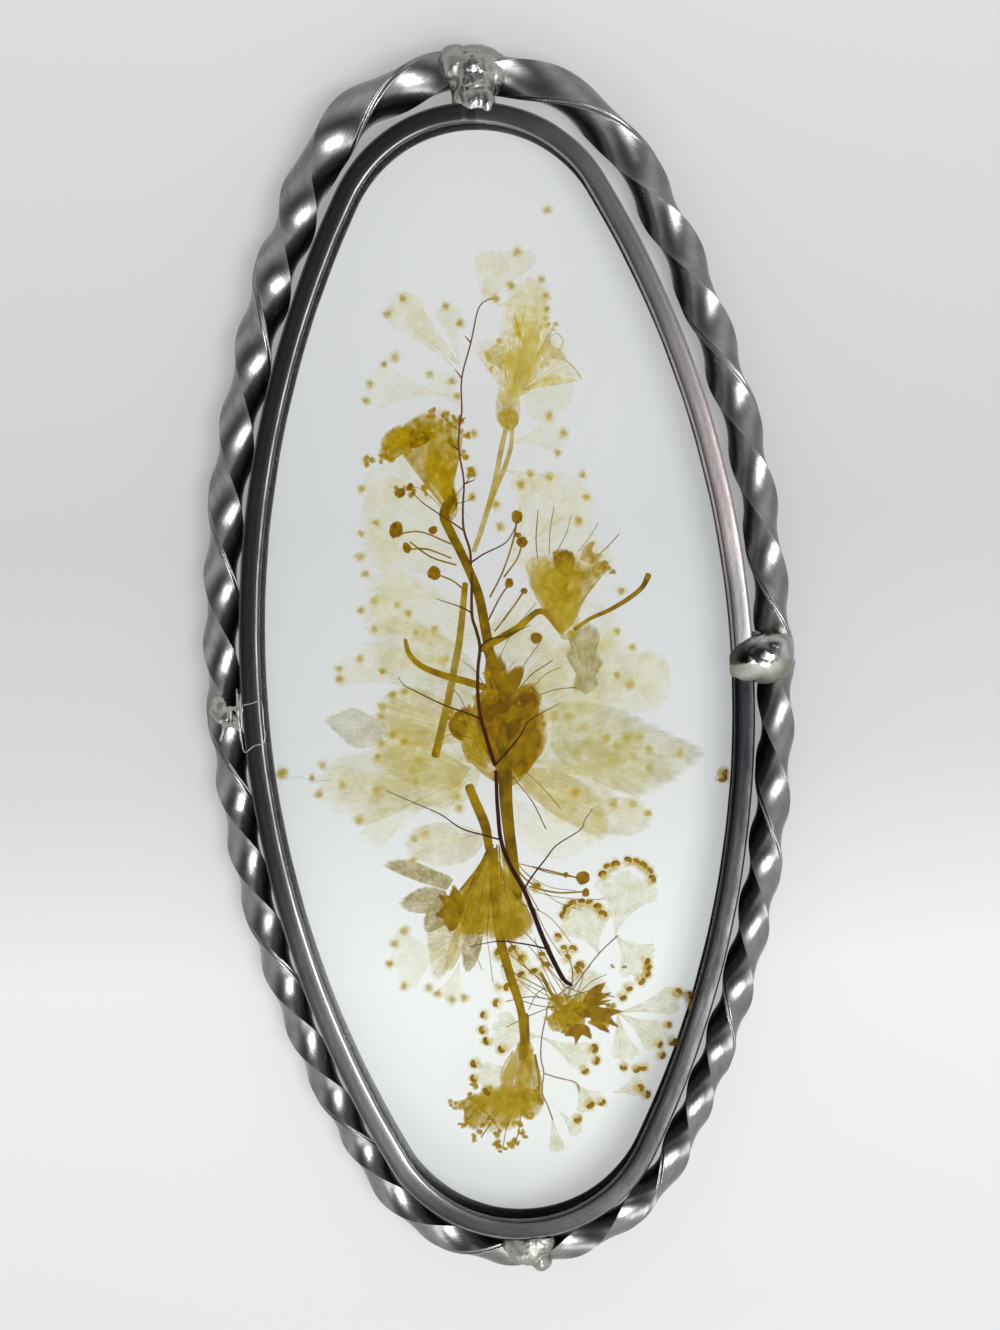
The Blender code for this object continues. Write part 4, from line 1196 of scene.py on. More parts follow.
def metal(name, dark, light, rough_low, rough_high, streaks=(1, 1, 1), pits=True, bump=0.00003):
    """Dull handled metal: cloudy patina, fine streaks along the piece, pits and rubbed places."""
    material, tree, shader = new_material(name)
    shader.inputs["Metallic"].default_value = 1.0
    cloud = grain(tree, 260.0, 5.0, 0.6)
    streak = grain(tree, 1.0, 3.0, 0.7, streaks, "UV")
    blend = weighted(tree, cloud, streak, 0.4)
    middle = tuple((a + b) / 2 for a, b in zip(dark, light))
    colour = ramp(tree, blend, ((0.34, dark), (0.5, middle), (0.66, light)))
    rough = fit_range(tree, blend, 0.35, 0.65, rough_high, rough_low)
    tree.links.new(rough, shader.inputs["Roughness"])
    if pits:
        speck = grain(tree, 1900.0, 2.0, 0.5)
        pit = ramp(tree, speck, ((0.27, (0.2, 0.17, 0.16)), (0.33, (1, 1, 1))))
        mix = tree.nodes.new("ShaderNodeMix")
        mix.data_type = "RGBA"
        mix.blend_type = "MULTIPLY"
        mix.inputs["Factor"].default_value = 1.0
        tree.links.new(colour, mix.inputs[6])
        tree.links.new(pit, mix.inputs[7])
        colour = mix.outputs[2]
    tree.links.new(colour, shader.inputs["Base Color"])
    fine = maths(tree, "ADD", streak, maths(tree, "MULTIPLY", grain(tree, 700.0, 3.0), 0.5))
    add_bump(tree, shader, fine, bump)
    return material


def zone(tree, place, start, end):
    """Share that grows from 0 at the start to 1 at the end, along one coordinate."""
    return fit_range(tree, place, start, end, smooth=True)


def both_of(tree, *shares):
    """Product of shares."""
    product = shares[0]
    for share in shares[1:]:
        product = maths(tree, "MULTIPLY", product, share)
    return product


def rim_material():
    """Satin dark strip metal with streaks along it. Its colour holds painted light: paler slate and a
    brownish tint with painted reflection at the upper right, paler grey as painted reflection at the lower
    left, and near black as painted shade at the lower right.
    """
    material, tree, shader = new_material("came_metal")
    shader.inputs["Metallic"].default_value = 1.0
    streak = grain(tree, 1.0, 4.0, 0.75, (22.0, 0.3, 1), "UV")
    cloud = grain(tree, 170.0, 4.0, 0.6)
    blend = weighted(tree, cloud, streak, 0.6)
    dark = ramp(tree, blend, ((0.36, (0.045, 0.045, 0.047)), (0.64, (0.12, 0.12, 0.123))))
    # The black and satin ramps are painted shade, for the lower right.
    black = ramp(tree, blend, ((0.36, (0.008, 0.009, 0.01)), (0.64, (0.024, 0.025, 0.027))))
    # The grey ramp is painted reflection, for the lower left.
    grey = ramp(tree, blend, ((0.36, (0.16, 0.163, 0.155)), (0.64, (0.33, 0.336, 0.318))))
    painted_shade_satin = ramp(tree, blend, ((0.36, (0.025, 0.0255, 0.0245)), (0.64, (0.06, 0.061, 0.059))))
    # The slate ramp is painted reflection, and the brown ramp a brown tint with painted reflection, both for
    # the upper right.
    painted_reflection_slate = ramp(tree, blend, ((0.36, (0.17, 0.17, 0.178)), (0.64, (0.28, 0.28, 0.292))))
    brown = ramp(tree, blend, ((0.36, (0.24, 0.215, 0.213)), (0.5, (0.35, 0.315, 0.312)),
                               (0.66, (0.5, 0.455, 0.45))))
    across, along, _ = axes(tree)
    right = maths(tree, "GREATER_THAN", across, 0.001)
    left = maths(tree, "LESS_THAN", across, 0.0)
    upper_right = both_of(tree, right, maths(tree, "GREATER_THAN", along, -0.001))
    lower_right = both_of(tree, right, maths(tree, "LESS_THAN", along, -0.001))
    below_top = zone(tree, along, 0.0585, 0.05)
    above_end = zone(tree, along, -0.0575, -0.05)
    # Painted reflection: paler slate over the upper right below its top, then a brown tint with painted
    # reflection further down.
    base = mix_colour(tree, both_of(tree, upper_right, below_top), dark, painted_reflection_slate)
    brown_tint_painted_sheen = both_of(tree, upper_right, zone(tree, along, 0.046, 0.022), zone(tree, along, 0.003, 0.012))
    base = mix_colour(tree, brown_tint_painted_sheen, base, brown)
    # Painted shade: near black at the lower right, easing to dark satin further down.
    shade = mix_colour(tree, zone(tree, along, -0.01, -0.032), black, painted_shade_satin)
    base = mix_colour(tree, both_of(tree, lower_right, above_end), base, shade)
    # Painted reflection: paler grey towards the lower left.
    lower_left = both_of(tree, left, zone(tree, along, -0.016, -0.036), above_end)
    base = mix_colour(tree, lower_left, base, grey)
    tree.links.new(base, shader.inputs["Base Color"])
    tree.links.new(fit_range(tree, blend, 0.35, 0.65, 0.3, 0.2), shader.inputs["Roughness"])
    add_bump(tree, shader, streak, 0.000012)
    return material


def bead_material():
    """Smooth solder, with painted shade darkening its side towards the rim, and rough and pale along its near
    edge.
    """
    material, tree, shader = new_material("solder_bead")
    shader.inputs["Metallic"].default_value = 1.0
    cloud = grain(tree, 420.0, 4.0, 0.6)
    across, along, _ = axes(tree)
    wander = maths(tree, "MULTIPLY", maths(tree, "SUBTRACT", cloud, 0.5), 0.003)
    # The near-black ramp below is painted shade, for the bead's side towards the rim.
    painted_shade_dark = ramp(tree, cloud, ((0.35, (0.02, 0.02, 0.02)), (0.65, (0.06, 0.058, 0.055))))
    clean = ramp(tree, cloud, ((0.35, (0.24, 0.24, 0.228)), (0.65, (0.46, 0.455, 0.435))))
    near_edge = ramp(tree, cloud, ((0.35, (0.2, 0.2, 0.18)), (0.65, (0.33, 0.325, 0.29))))
    edge = zone(tree, maths(tree, "ADD", along, wander), -0.0012, -0.0018)
    # Share of the bead clear of the painted shade, from its side towards the rim to its middle.
    clear_of_painted_shade = zone(tree, maths(tree, "ADD", across, wander), 0.0249, 0.0273)
    base = mix_colour(tree, clear_of_painted_shade, painted_shade_dark, clean)
    tree.links.new(mix_colour(tree, edge, base, near_edge), shader.inputs["Base Color"])
    tree.links.new(fit_range(tree, edge, 0.0, 1.0, 0.13, 0.6), shader.inputs["Roughness"])
    add_bump(tree, shader, cloud, 0.00003)
    return material


def plant(name, pale, deep, alpha, fade=1.0, size=900.0, contrast=0.6, streak=0.35, spots=None):
    """Dried see-through tissue: uneven tint, denser in blotches and streaks, thinning out at its outline."""
    material, tree, shader = new_material(name)
    blotch = grain(tree, size, 3.0, 0.65)
    lines = grain(tree, 1.0, 2.0, 0.6, (46.0, 1.3, 1.0), "UV")
    blend = weighted(tree, blotch, lines, streak)
    stops = [(0.38, pale), (0.62, deep)]
    if spots:
        stops.append((0.7, spots))
    tree.links.new(ramp(tree, blend, stops), shader.inputs["Base Color"])
    opacity = fit_range(tree, blend, 0.38, 0.62, alpha * (1 - contrast), min(1.0, alpha * (1 + contrast)))
    if fade < 1.0:
        inside = fit_range(tree, axes(tree, "UV")[1], fade, 1.0, 1.0, 0.0, smooth=True)
        opacity = maths(tree, "MULTIPLY", opacity, inside, clamp=True)
    tree.links.new(opacity, shader.inputs["Alpha"])
    shader.inputs["Roughness"].default_value = 0.8
    shader.inputs["Specular IOR Level"].default_value = 0.02
    add_bump(tree, shader, blotch, 0.00003)
    return material


def glass_material():
    """Clear old glass with faint waves; its reflections are dimmed, as the photograph shows almost none."""
    material, tree, shader = new_material("old_clear_glass")
    shader.inputs["Transmission Weight"].default_value = 1.0
    shader.inputs["IOR"].default_value = 1.45
    shader.inputs["Specular Tint"].default_value = (0.25, 0.25, 0.25, 1)
    shader.inputs["Roughness"].default_value = 0.0
    tint = ramp(tree, grain(tree, 40.0, 3.0), ((0.3, (0.982, 0.994, 0.99)), (0.7, (0.99, 0.998, 0.995))))
    tree.links.new(tint, shader.inputs["Base Color"])
    add_bump(tree, shader, grain(tree, 90.0, 2.0), 0.000012)
    return material


def stalk_material():
    """Wiry fern stalk: near black below, red-brown towards the tip."""
    material, tree, shader = new_material("fern_wire")
    height = fit_range(tree, axes(tree)[1], -0.034, 0.036)
    uneven = maths(tree, "MULTIPLY", maths(tree, "SUBTRACT", grain(tree, 900.0), 0.5), 0.3)
    colour = ramp(tree, maths(tree, "ADD", height, uneven),
                  ((0.0, (0.006, 0.002, 0.001)), (0.35, (0.024, 0.005, 0.001)),
                   (0.6, (0.06, 0.018, 0.003)), (1.0, (0.12, 0.055, 0.012))))
    tree.links.new(colour, shader.inputs["Base Color"])
    shader.inputs["Roughness"].default_value = 0.7
    shader.inputs["Specular IOR Level"].default_value = 0.03
    add_bump(tree, shader, grain(tree, 2500.0, 2.0), 0.00002)
    return material


RIM_METAL = rim_material()
BAR_METAL = metal("border_metal", (0.15, 0.149, 0.147), (0.27, 0.267, 0.262), 0.24, 0.33, (14.0, 0.5, 1),
                  pits=False, bump=0.000018)
SOLDER_METAL = metal("solder_metal", (0.22, 0.22, 0.21), (0.34, 0.335, 0.32), 0.24, 0.34, bump=0.00003)
SOLDER_ROUGH = metal("solder_rough", (0.22, 0.22, 0.2), (0.42, 0.41, 0.38), 0.36, 0.5, bump=0.00009)
BEAD_METAL = bead_material()
GLASS = glass_material()
WIRE = stalk_material()

# Plant tissue: tint where thin, tint where dense, opacity, and where its outline starts to fade.
BLADE = plant("fern_blade", (0.43, 0.4, 0.15), (0.35, 0.31, 0.06), 0.11, 0.93, 450.0, 0.3, 0.15)
BLADE_VEIN = plant("fern_blade_vein", (0.34, 0.27, 0.04), (0.26, 0.19, 0.02), 0.06)
CLEAR_BLADE = plant("fern_blade_clear", (0.4, 0.39, 0.18), (0.3, 0.29, 0.09), 0.2, 0.96, contrast=0.4)
CLEAR_VEIN = plant("fern_clear_vein", (0.22, 0.2, 0.09), (0.16, 0.14, 0.05), 0.16)
SORUS = plant("spore_case", (0.25, 0.145, 0.003), (0.13, 0.062, 0.001), 0.985, size=1500.0, contrast=0.015)
SORUS_HALO = plant("spore_halo", (0.36, 0.27, 0.01), (0.28, 0.2, 0.006), 0.5, 0.2)
FAINT = plant("faint_spore_case", (0.28, 0.2, 0.012), (0.2, 0.14, 0.004), 0.5, 0.1, size=1500.0)
FAINT_HALO = plant("faint_halo", (0.38, 0.33, 0.04), (0.31, 0.25, 0.012), 0.32, 0.1)
GREEN = plant("green_spore_case", (0.17, 0.19, 0.02), (0.11, 0.13, 0.01), 0.8)
STRAW = plant("petal_straw", (0.43, 0.38, 0.08), (0.34, 0.27, 0.02), 0.22, 0.75, contrast=0.5)
AMBER = plant("petal_amber", (0.3, 0.22, 0.01), (0.2, 0.13, 0.002), 0.55, 0.75, contrast=0.4)
OCHRE = plant("petal_ochre", (0.31, 0.215, 0.003), (0.2, 0.125, 0.001), 0.7, 0.8, contrast=0.4)
BROWN = plant("petal_brown", (0.22, 0.13, 0.001), (0.1, 0.05, 0.001), 0.93, 0.84, contrast=0.08,
              spots=(0.065, 0.028, 0.001))
DARK = plant("petal_dark", (0.13, 0.067, 0.001), (0.065, 0.028, 0.001), 0.95, 0.75, contrast=0.05)
OLIVE = plant("petal_olive", (0.3, 0.21, 0.01), (0.18, 0.115, 0.002), 0.66, 0.88, 500.0, 0.5)
GREY = plant("petal_grey", (0.29, 0.255, 0.12), (0.2, 0.165, 0.06), 0.62, 0.85, contrast=0.35)
PALE = plant("petal_pale", (0.31, 0.29, 0.15), (0.24, 0.21, 0.07), 0.24, 0.9, 450.0, 0.35, 0.25)
CREAM = plant("petal_cream", (0.35, 0.32, 0.13), (0.27, 0.23, 0.04), 0.2, 0.86, 450.0, 0.3, 0.2)
GOLD = plant("petal_gold", (0.35, 0.285, 0.03), (0.25, 0.185, 0.008), 0.3, 0.86, 600.0, 0.35)
VEIN = plant("petal_vein", (0.25, 0.16, 0.01), (0.17, 0.09, 0.004), 0.26)
FLESH = plant("stem_flesh", (0.26, 0.165, 0.002), (0.085, 0.045, 0.001), 0.985, size=500.0, contrast=0.015)
STEM_DARK = plant("stem_dark", (0.18, 0.11, 0.001), (0.06, 0.032, 0.001), 0.99, size=500.0, contrast=0.01)
STEM_GREY = plant("sprig_stem", (0.2, 0.15, 0.08), (0.13, 0.09, 0.05), 0.7, contrast=0.2)
STEM_PALE = plant("stem_pale", (0.33, 0.26, 0.04), (0.24, 0.17, 0.015), 0.66, size=600.0, contrast=0.2)
BUD = plant("bud_skin", (0.21, 0.12, 0.002), (0.1, 0.045, 0.001), 0.97, 0.8, size=1400.0, contrast=0.03)
BEAD = plant("floret", (0.3, 0.2, 0.003), (0.16, 0.09, 0.001), 0.78, 0.3, size=1600.0, contrast=0.25)
CRUMB = plant("petal_crumb", (0.36, 0.27, 0.01), (0.26, 0.18, 0.003), 0.5, 0.15, size=1600.0)


# Metal pieces.

def rim_profile():
    """Section of the U-shaped rim as out and height, clockwise, with rounded corners."""
    wall, lip = 0.55, 0.6
    corners = ((0.0, 0.0, 0.3), (RIM_WIDTH, 0.0, 0.3), (RIM_WIDTH, RIM_DEPTH, 0.3), (0.0, RIM_DEPTH, 0.42),
               (0.0, RIM_DEPTH - lip, 0.1), (RIM_WIDTH - wall, RIM_DEPTH - lip, 0.0),
               (RIM_WIDTH - wall, lip, 0.0), (0.0, lip, 0.1))
    profile = []
    for i, (x, y, radius) in enumerate(corners):
        if not radius:
            profile.append((x, y))
            continue
        before = np.array(corners[i - 1][:2])
        after = np.array(corners[(i + 1) % len(corners)][:2])
        corner = np.array((x, y))
        a = corner + (before - corner) / np.linalg.norm(before - corner) * radius
        b = corner + (after - corner) / np.linalg.norm(after - corner) * radius
        for t in (0.0, 0.25, 0.5, 0.75, 1.0):
            profile.append(tuple((1 - t) ** 2 * a + 2 * t * (1 - t) * corner + t * t * b))
    dense = []
    for i, p in enumerate(profile):
        q = profile[(i + 1) % len(profile)]
        pieces = max(1, round(math.dist(p, q) / 0.55))
        dense += [tuple(a + (b - a) * k / pieces for a, b in zip(p, q)) for k in range(pieces)]
    return dense


def make_rim():
    """The rim, swept round the opening, with the small hollows and swellings of bent strip."""
    profile = rim_profile()
    points = []
    uvs = []
    for i in range(RIM_STEPS):
        distance = PERIMETER * i / RIM_STEPS
        for k, (out, height) in enumerate(profile):
            x, y, nx, ny = rim_point(distance, out)
            face = max(0.0, min(1.0, (height - RIM_DEPTH + 0.5) / 0.5))
            sag = 0.03 * noise.noise(Vector((x * 0.16, y * 0.16, 3.0))) * face - 0.03 * face
            side = 0.035 * noise.noise(Vector((x * 0.22, y * 0.22, 9.0 + height * 0.1))) - 0.02
            points.append((x + nx * side, y + ny * side, height + sag))
            uvs.append((k / len(profile), distance))
    shape = Shape()
    faces = grid_faces(RIM_STEPS, len(profile), loop_rows=True, loop_columns=True)
    shape.add(points, faces, 0, uvs)
    shape.build("rim_worn", [RIM_METAL], ["came_rim"], sharp=50, shadow=True)


def turns_at(distance):
    """Turns of the bar at a distance round the opening."""
    marks = SEAM_TO_FRONT
    index = 0
    while index < len(marks) - 2 and distance > marks[index + 1]:
        index += 1
    return index + (distance - marks[index]) / (marks[index + 1] - marks[index])


def bar_section():
    """The bar's section as degrees and share of its radius: a seam, and three bulging faces."""

    def face(start, end, share_start, share_end):
        """A circle's arc from one edge to the next, through the face's middle."""
        places = ((start, share_start), (end, share_end), ((start + end) / 2, FACE_MIDDLE))
        a, b, m = (np.array((math.sin(math.radians(angle)), math.cos(math.radians(angle)))) * share
                   for angle, share in places)
        points = []
        for t in np.linspace(0, 1, 22)[1:-1]:
            bulge = 4 * t * (1 - t)
            p = a + (b - a) * t + (m - (a + b) / 2) * bulge
            points.append((math.degrees(math.atan2(p[0], p[1])) % 360, float(np.hypot(*p))))
        return points

    edge = 0.985
    first, last = SEAM[-1], SEAM[0]
    section = [(angle % 360, share) for angle, share in SEAM if angle >= 0]
    section += face(first[0], 120, first[1], edge) + [(120, edge)]
    section += face(120, 240, edge, edge) + [(240, edge)]
    section += face(240, 360 + last[0], edge, last[1])
    section += [(angle % 360, share) for angle, share in SEAM if angle < 0]
    return section


def make_border():
    """The bar, swept round the rim and turned so that its seam comes to the front at the marked places."""
    section = bar_section()
    points = []
    uvs = []
    for i in range(BORDER_STEPS + 1):
        distance = BORDER_START + (BORDER_END - BORDER_START) * i / BORDER_STEPS
        out, radius = smooth_between(BORDER_TRACK, distance)
        x, y, nx, ny = rim_point(distance, out)
        turn = 2 * math.pi * turns_at(distance)
        for k, (degrees, share) in enumerate(section):
            angle = math.radians(degrees) + turn
            far = radius * share * (1 + 0.012 * noise.noise(Vector((x * 0.5, y * 0.5, degrees * 0.02))))
            points.append((x + nx * far * math.sin(angle), y + ny * far * math.sin(angle),
                           BORDER_HEIGHT + far * math.cos(angle)))
            uvs.append((degrees / 360, distance))
    count = len(section)
    faces = grid_faces(BORDER_STEPS + 1, count, loop_columns=True)
    faces.append(tuple(range(count))[::-1])
    faces.append(tuple(BORDER_STEPS * count + k for k in range(count)))
    shape = Shape()
    shape.add(points, faces, 0, uvs)
    shape.build("border_twisted", [BAR_METAL], ["twisted_border"], sharp=65, shadow=True)


def make_glass():
    """The CAD panes are kept as they are and only given their material."""
    for name in ("glass_back", "glass_front"):
        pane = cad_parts[name]
        pane.data.materials.clear()
        pane.data.materials.append(GLASS)
        pane.visible_shadow = False
        pane.visible_diffuse = False


def solder_piece(name, lumps, node_name, seed, rough, materials, reach, cuts=()):
    """Lumps melted together: a closed skin over ellipsoids, roughened.

    The skin is kept inside the CAD solid's box, with the given reach past its sides. Cuts are dents, as
    x, y, z, radius and depth.
    """
    rings, sides = 20, 32
    shape_points = []
    shape_faces = []
    for cx, cy, cz, rx, ry, rz in lumps:
        shape_faces += ball_faces(rings, sides, len(shape_points))
        for r in range(1, rings):
            polar = math.pi * r / rings
            for k in range(sides):
                angle = 2 * math.pi * k / sides
                shape_points.append((cx + rx * math.sin(polar) * math.cos(angle),
                                     cy + ry * math.sin(polar) * math.sin(angle), cz + rz * math.cos(polar)))
        shape_points += [(cx, cy, cz + rz), (cx, cy, cz - rz)]
    mesh = bpy.data.meshes.new(name)
    mesh.from_pydata(shape_points, [], shape_faces)
    obj = bpy.data.objects.new(name, mesh)
    bpy.context.scene.collection.objects.link(obj)
    remesh = obj.modifiers.new("skin", "REMESH")
    remesh.mode = "VOXEL"
    remesh.voxel_size = SOLDER_VOXEL
    soften = obj.modifiers.new("soften", "SMOOTH")
    soften.iterations = 14
    soften.factor = 0.6
    bpy.context.view_layer.update()
    fused = bpy.data.meshes.new_from_object(obj.evaluated_get(bpy.context.evaluated_depsgraph_get()))
    bpy.data.objects.remove(obj, do_unlink=True)
    low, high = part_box(node_name)
    centre = Vector((CENTRE.x, CENTRE.y, 0))
    low, high = (low - centre) / MM, (high - centre) / MM
    fused.update()
    normals = [v.normal.copy() for v in fused.vertices]
    points = []
    for vert, normal in zip(fused.vertices, normals):
        p = vert.co
        bump = rough * (noise.noise(Vector(p) * 0.9 + Vector((seed, 0, 0)))
                        + 0.5 * noise.noise(Vector(p) * 2.3 + Vector((0, seed, 0)))
                        + 0.25 * noise.noise(Vector(p) * 6.0 + Vector((0, 0, seed))))
        moved = p + normal * bump
        for cx, cy, cz, radius, depth in cuts:
            gap = (moved - Vector((cx, cy, cz))).length
            if gap < radius:
                moved = moved - normal * depth * (1 - gap / radius) ** 0.7
        moved = Vector((max(low[i] - reach, min(high[i] + reach, moved[i])) for i in range(3)))
        moved.z = max(0.3, min(high.z, moved.z))
        points.append(tuple(moved))
    faces = [tuple(p.vertices) for p in fused.polygons]
    shape = Shape()
    shape.add(points, faces, 0)
    if len(materials) > 1:
        places = [Vector(points[face[0]]) * 0.7 + Vector((seed, 5, 0)) for face in faces]
        shape.marks = [int(noise.noise(place) > 0.12) for place in places]
    shape.build(name, materials, [node_name], shadow=True)
    bpy.data.meshes.remove(fused)


def web(paths):
    """Small lumps strung along paths of pixel x, y, height and radius, for a thin web of solder."""
    lumps = []
    for path in paths:
        rows = [(*spot(px, py, PHOTO_FRONT_SCALE), height, radius) for px, py, height, radius in path]
        for first, last in zip(rows, rows[1:]):
            count = max(1, math.ceil(math.dist(first[:3], last[:3]) / 0.3))
            for i in range(count + 1):
                x, y, z, radius = (a + (b - a) * i / count for a, b in zip(first, last))
                lumps.append((x, y, z, radius, radius, radius * 0.9))
    return lumps


def make_solder():
    """The four joints, as lumps of centre and radii in millimetres, and a tinned patch beside one."""
    solder_piece("solder_bead_right", (
        (27.1, 0.65, 4.9, 3.2, 2.5, 2.3), (25.7, 0.2, 5.9, 2.1, 2.15, 1.15), (27.4, -0.3, 4.2, 3.0, 2.1, 2.7),
        (28.0, 1.5, 4.9, 2.2, 1.6, 2.1), (26.4, 1.3, 5.4, 1.9, 1.6, 1.6), (25.4, -0.6, 5.9, 1.9, 1.5, 1.0)),
        "solder_right", 3.0, 0.02, [BEAD_METAL], 1.5)
    solder_piece("solder_patch_left", (
        (-28.4, -1.9, 4.2, 1.1, 1.5, 1.4), (-28.1, -2.6, 4.1, 0.9, 1.5, 1.4),
        *web((((221, 704, 5.3, 0.3), (224, 716, 5.5, 0.36), (221, 730, 5.3, 0.3), (217, 742, 5.0, 0.22)),
              ((208, 712, 5.0, 0.4), (216, 722, 5.3, 0.36), (222, 716, 5.5, 0.3)),
              ((222, 710, 5.5, 0.28), (232, 709, 6.2, 0.26), (237, 711, 6.4, 0.26)),
              ((222, 727, 5.5, 0.3), (230, 726, 6.1, 0.28), (238, 729, 6.4, 0.28)),
              ((235, 690, 6.1, 0.16), (236, 704, 6.3, 0.22), (237, 722, 6.4, 0.26), (240, 742, 6.45, 0.2)),
              ((228, 708, 5.9, 0.22), (229, 727, 5.9, 0.22))))),
        "solder_left", 7.0, 0.06, [SOLDER_ROUGH, SOLDER_METAL], 0.6)
    solder_piece("solder_saddle_top", (
        (-0.9, 61.7, 3.7, 1.9, 2.4, 2.5), (0.9, 61.3, 3.6, 3.3, 2.6, 2.75), (2.8, 60.9, 3.3, 1.9, 2.2, 2.2),
        (0.8, 59.4, 4.5, 2.3, 2.6, 2.0), (0.9, 58.0, 5.4, 2.0, 1.5, 1.3), (2.2, 57.7, 5.6, 0.8, 1.6, 1.05),
        (-0.6, 58.2, 5.4, 0.8, 1.5, 1.05)),
        "solder_top", 11.0, 0.1, [SOLDER_METAL, SOLDER_ROUGH], 0.1,
        ((-1.1, 59.6, 5.6, 0.9, 0.35), (2.3, 61.6, 5.6, 1.0, 0.35)))
    solder_piece("solder_blob_bottom", (
        (0.2, -59.2, 4.3, 2.3, 1.6, 2.3), (0.6, -58.3, 5.4, 2.3, 1.5, 1.3), (1.4, -60.2, 4.2, 1.1, 1.3, 2.2),
        (2.2, -57.4, 6.1, 0.42, 0.8, 0.5), (-1.2, -58.5, 5.0, 1.3, 1.0, 1.2)),
        "solder_bottom", 15.0, 0.13, [SOLDER_ROUGH], 0.1, ((-0.2, -57.3, 6.4, 0.8, 0.6),))
    # Thin bright edge of a tinned patch on the rim's face beside the left joint.
    edge = [spot(*p, PHOTO_FRONT_SCALE) for p in ((241, 706), (250, 704), (260, 703), (262, 722), (263, 742),
                                                   (252, 747), (243, 753), (240, 738), (240, 720))]
    ring = smooth_line([(x, y, RIM_DEPTH - 0.02, 0.075) for x, y in edge + [edge[0]]], 5)
    shape = Shape()
    add_tube(shape, ring, sides=8, flat=0.8)
    shape.build("tinned_edge_left", [SOLDER_METAL], shadow=True)


# Plants.

def make_stalk():
    """The three parts of the fern's stalk, each with its side branches."""
    z = layer_z(4)
    parts = (("low", "lower"), ("mid", "middle"), ("high", "upper"))
    for (part, joined), points, branches in zip(parts, STALK, BRANCHES):
        shape = Shape()
        add_stem(shape, points, z, sides=10, flat=0.34)
        for branch in branches:
            line = photo_line(branch, z, BRANCH_HALF_WIDTH)
            count = len(line) - 1
            line = [(*p[:3], BRANCH_HALF_WIDTH * (1.15 - 0.75 * i / count)) for i, p in enumerate(line)]
            add_tube(shape, with_tips(line), sides=8, flat=0.8)
        shape.build("stalk_" + part, [WIRE], ["fern_stalk_" + joined])


def make_leaflets():
    """The frond's leaflets, and between them further ones that the solids leave out."""
    for number, (x, y, direction, length, spread, layer) in enumerate(LEAFLETS, 1):
        shape = Shape()
        add_leaflet(shape, x, y, direction, length, spread, layer_z(layer), number)
        name = f"leaflet_{number:02d}"
        shape.build(name, [BLADE, BLADE_VEIN], ["fern_" + name])
    shape = Shape()
    for number, (foot, far, spread, layer) in enumerate(MORE_LEAFLETS, 50):
        a, b = spot(*foot), spot(*far)
        direction = math.degrees(math.atan2(b[1] - a[1], b[0] - a[0]))
        add_leaflet(shape, *a, direction, math.dist(a, b), spread, layer_z(layer) + 0.05, number)
    shape.build("leaflets_between", [BLADE, BLADE_VEIN])


def make_sprig():
    """The small sprig's two parts."""
    for name, stems, leaflets, layer, node_name in (
            ("sprig_high", SPRIG_UPPER_STEMS, SPRIG_UPPER_LEAFLETS, 2, "fern_sprig_upper"),
            ("sprig_low", SPRIG_LOWER_STEMS, SPRIG_LOWER_LEAFLETS, 1, "fern_sprig_lower")):
        shape = Shape()
        z = layer_z(layer)
        for stem in stems:
            add_stem(shape, stem, z, 0.075, flat=0.8, mark=2)
        for number, leaflet in enumerate(leaflets):
            add_leaflet(shape, *leaflet, z, 100 + number + layer * 20)
        shape.build(name, [CLEAR_BLADE, CLEAR_VEIN, STEM_GREY], [node_name])


def make_sori():
    """Spore cases: bent and sharp with a soft stain round them on the sprig, faint and round on the frond."""
    shape = Shape()
    z = layer_z(2) + 0.09
    draw = random.Random(5)
    for foot, cases in SHARP_SORI:
        fx, fy = spot(*foot)
        for case in cases:
            x, y = spot(*case)
            turn = math.degrees(math.atan2(y - fy, x - fx))
            size = draw.uniform(0.5, 0.6)
            add_bean(shape, x, y, z, size, turn + draw.uniform(-25, 25), draw.uniform(60, 95))
            add_ball(shape, x, y, z - 0.06, size * 1.5, size * 1.6, turn, draw.random() * 9, 1, 0.03, 0.3)
    for x, y in (spot(*p) for p in GREEN_SORI):
        add_bean(shape, x, y, z, 0.4, draw.uniform(0, 360), mark=2)
    shape.build("spore_cases_sprig", [SORUS, SORUS_HALO, GREEN])
    shape = Shape()
    z = layer_z(1) + 0.08
    for case in FAINT_SORI:
        x, y = spot(*case)
        size = draw.uniform(0.4, 0.52)
        turn = draw.uniform(0, 180)
        add_ball(shape, x, y, z, size * 0.95, size * 1.2, turn, draw.random() * 9, 0, 0.04, 0.7)
        add_ball(shape, x, y, z - 0.05, size * 1.7, size * 1.9, turn, draw.random() * 9, 1, 0.03, 0.5)
    add_stem(shape, LOOSE_THREAD, z, 0.05, sides=6, flat=0.6, mark=2)
    shape.build("spore_cases_faint", [FAINT, FAINT_HALO, CLEAR_VEIN])


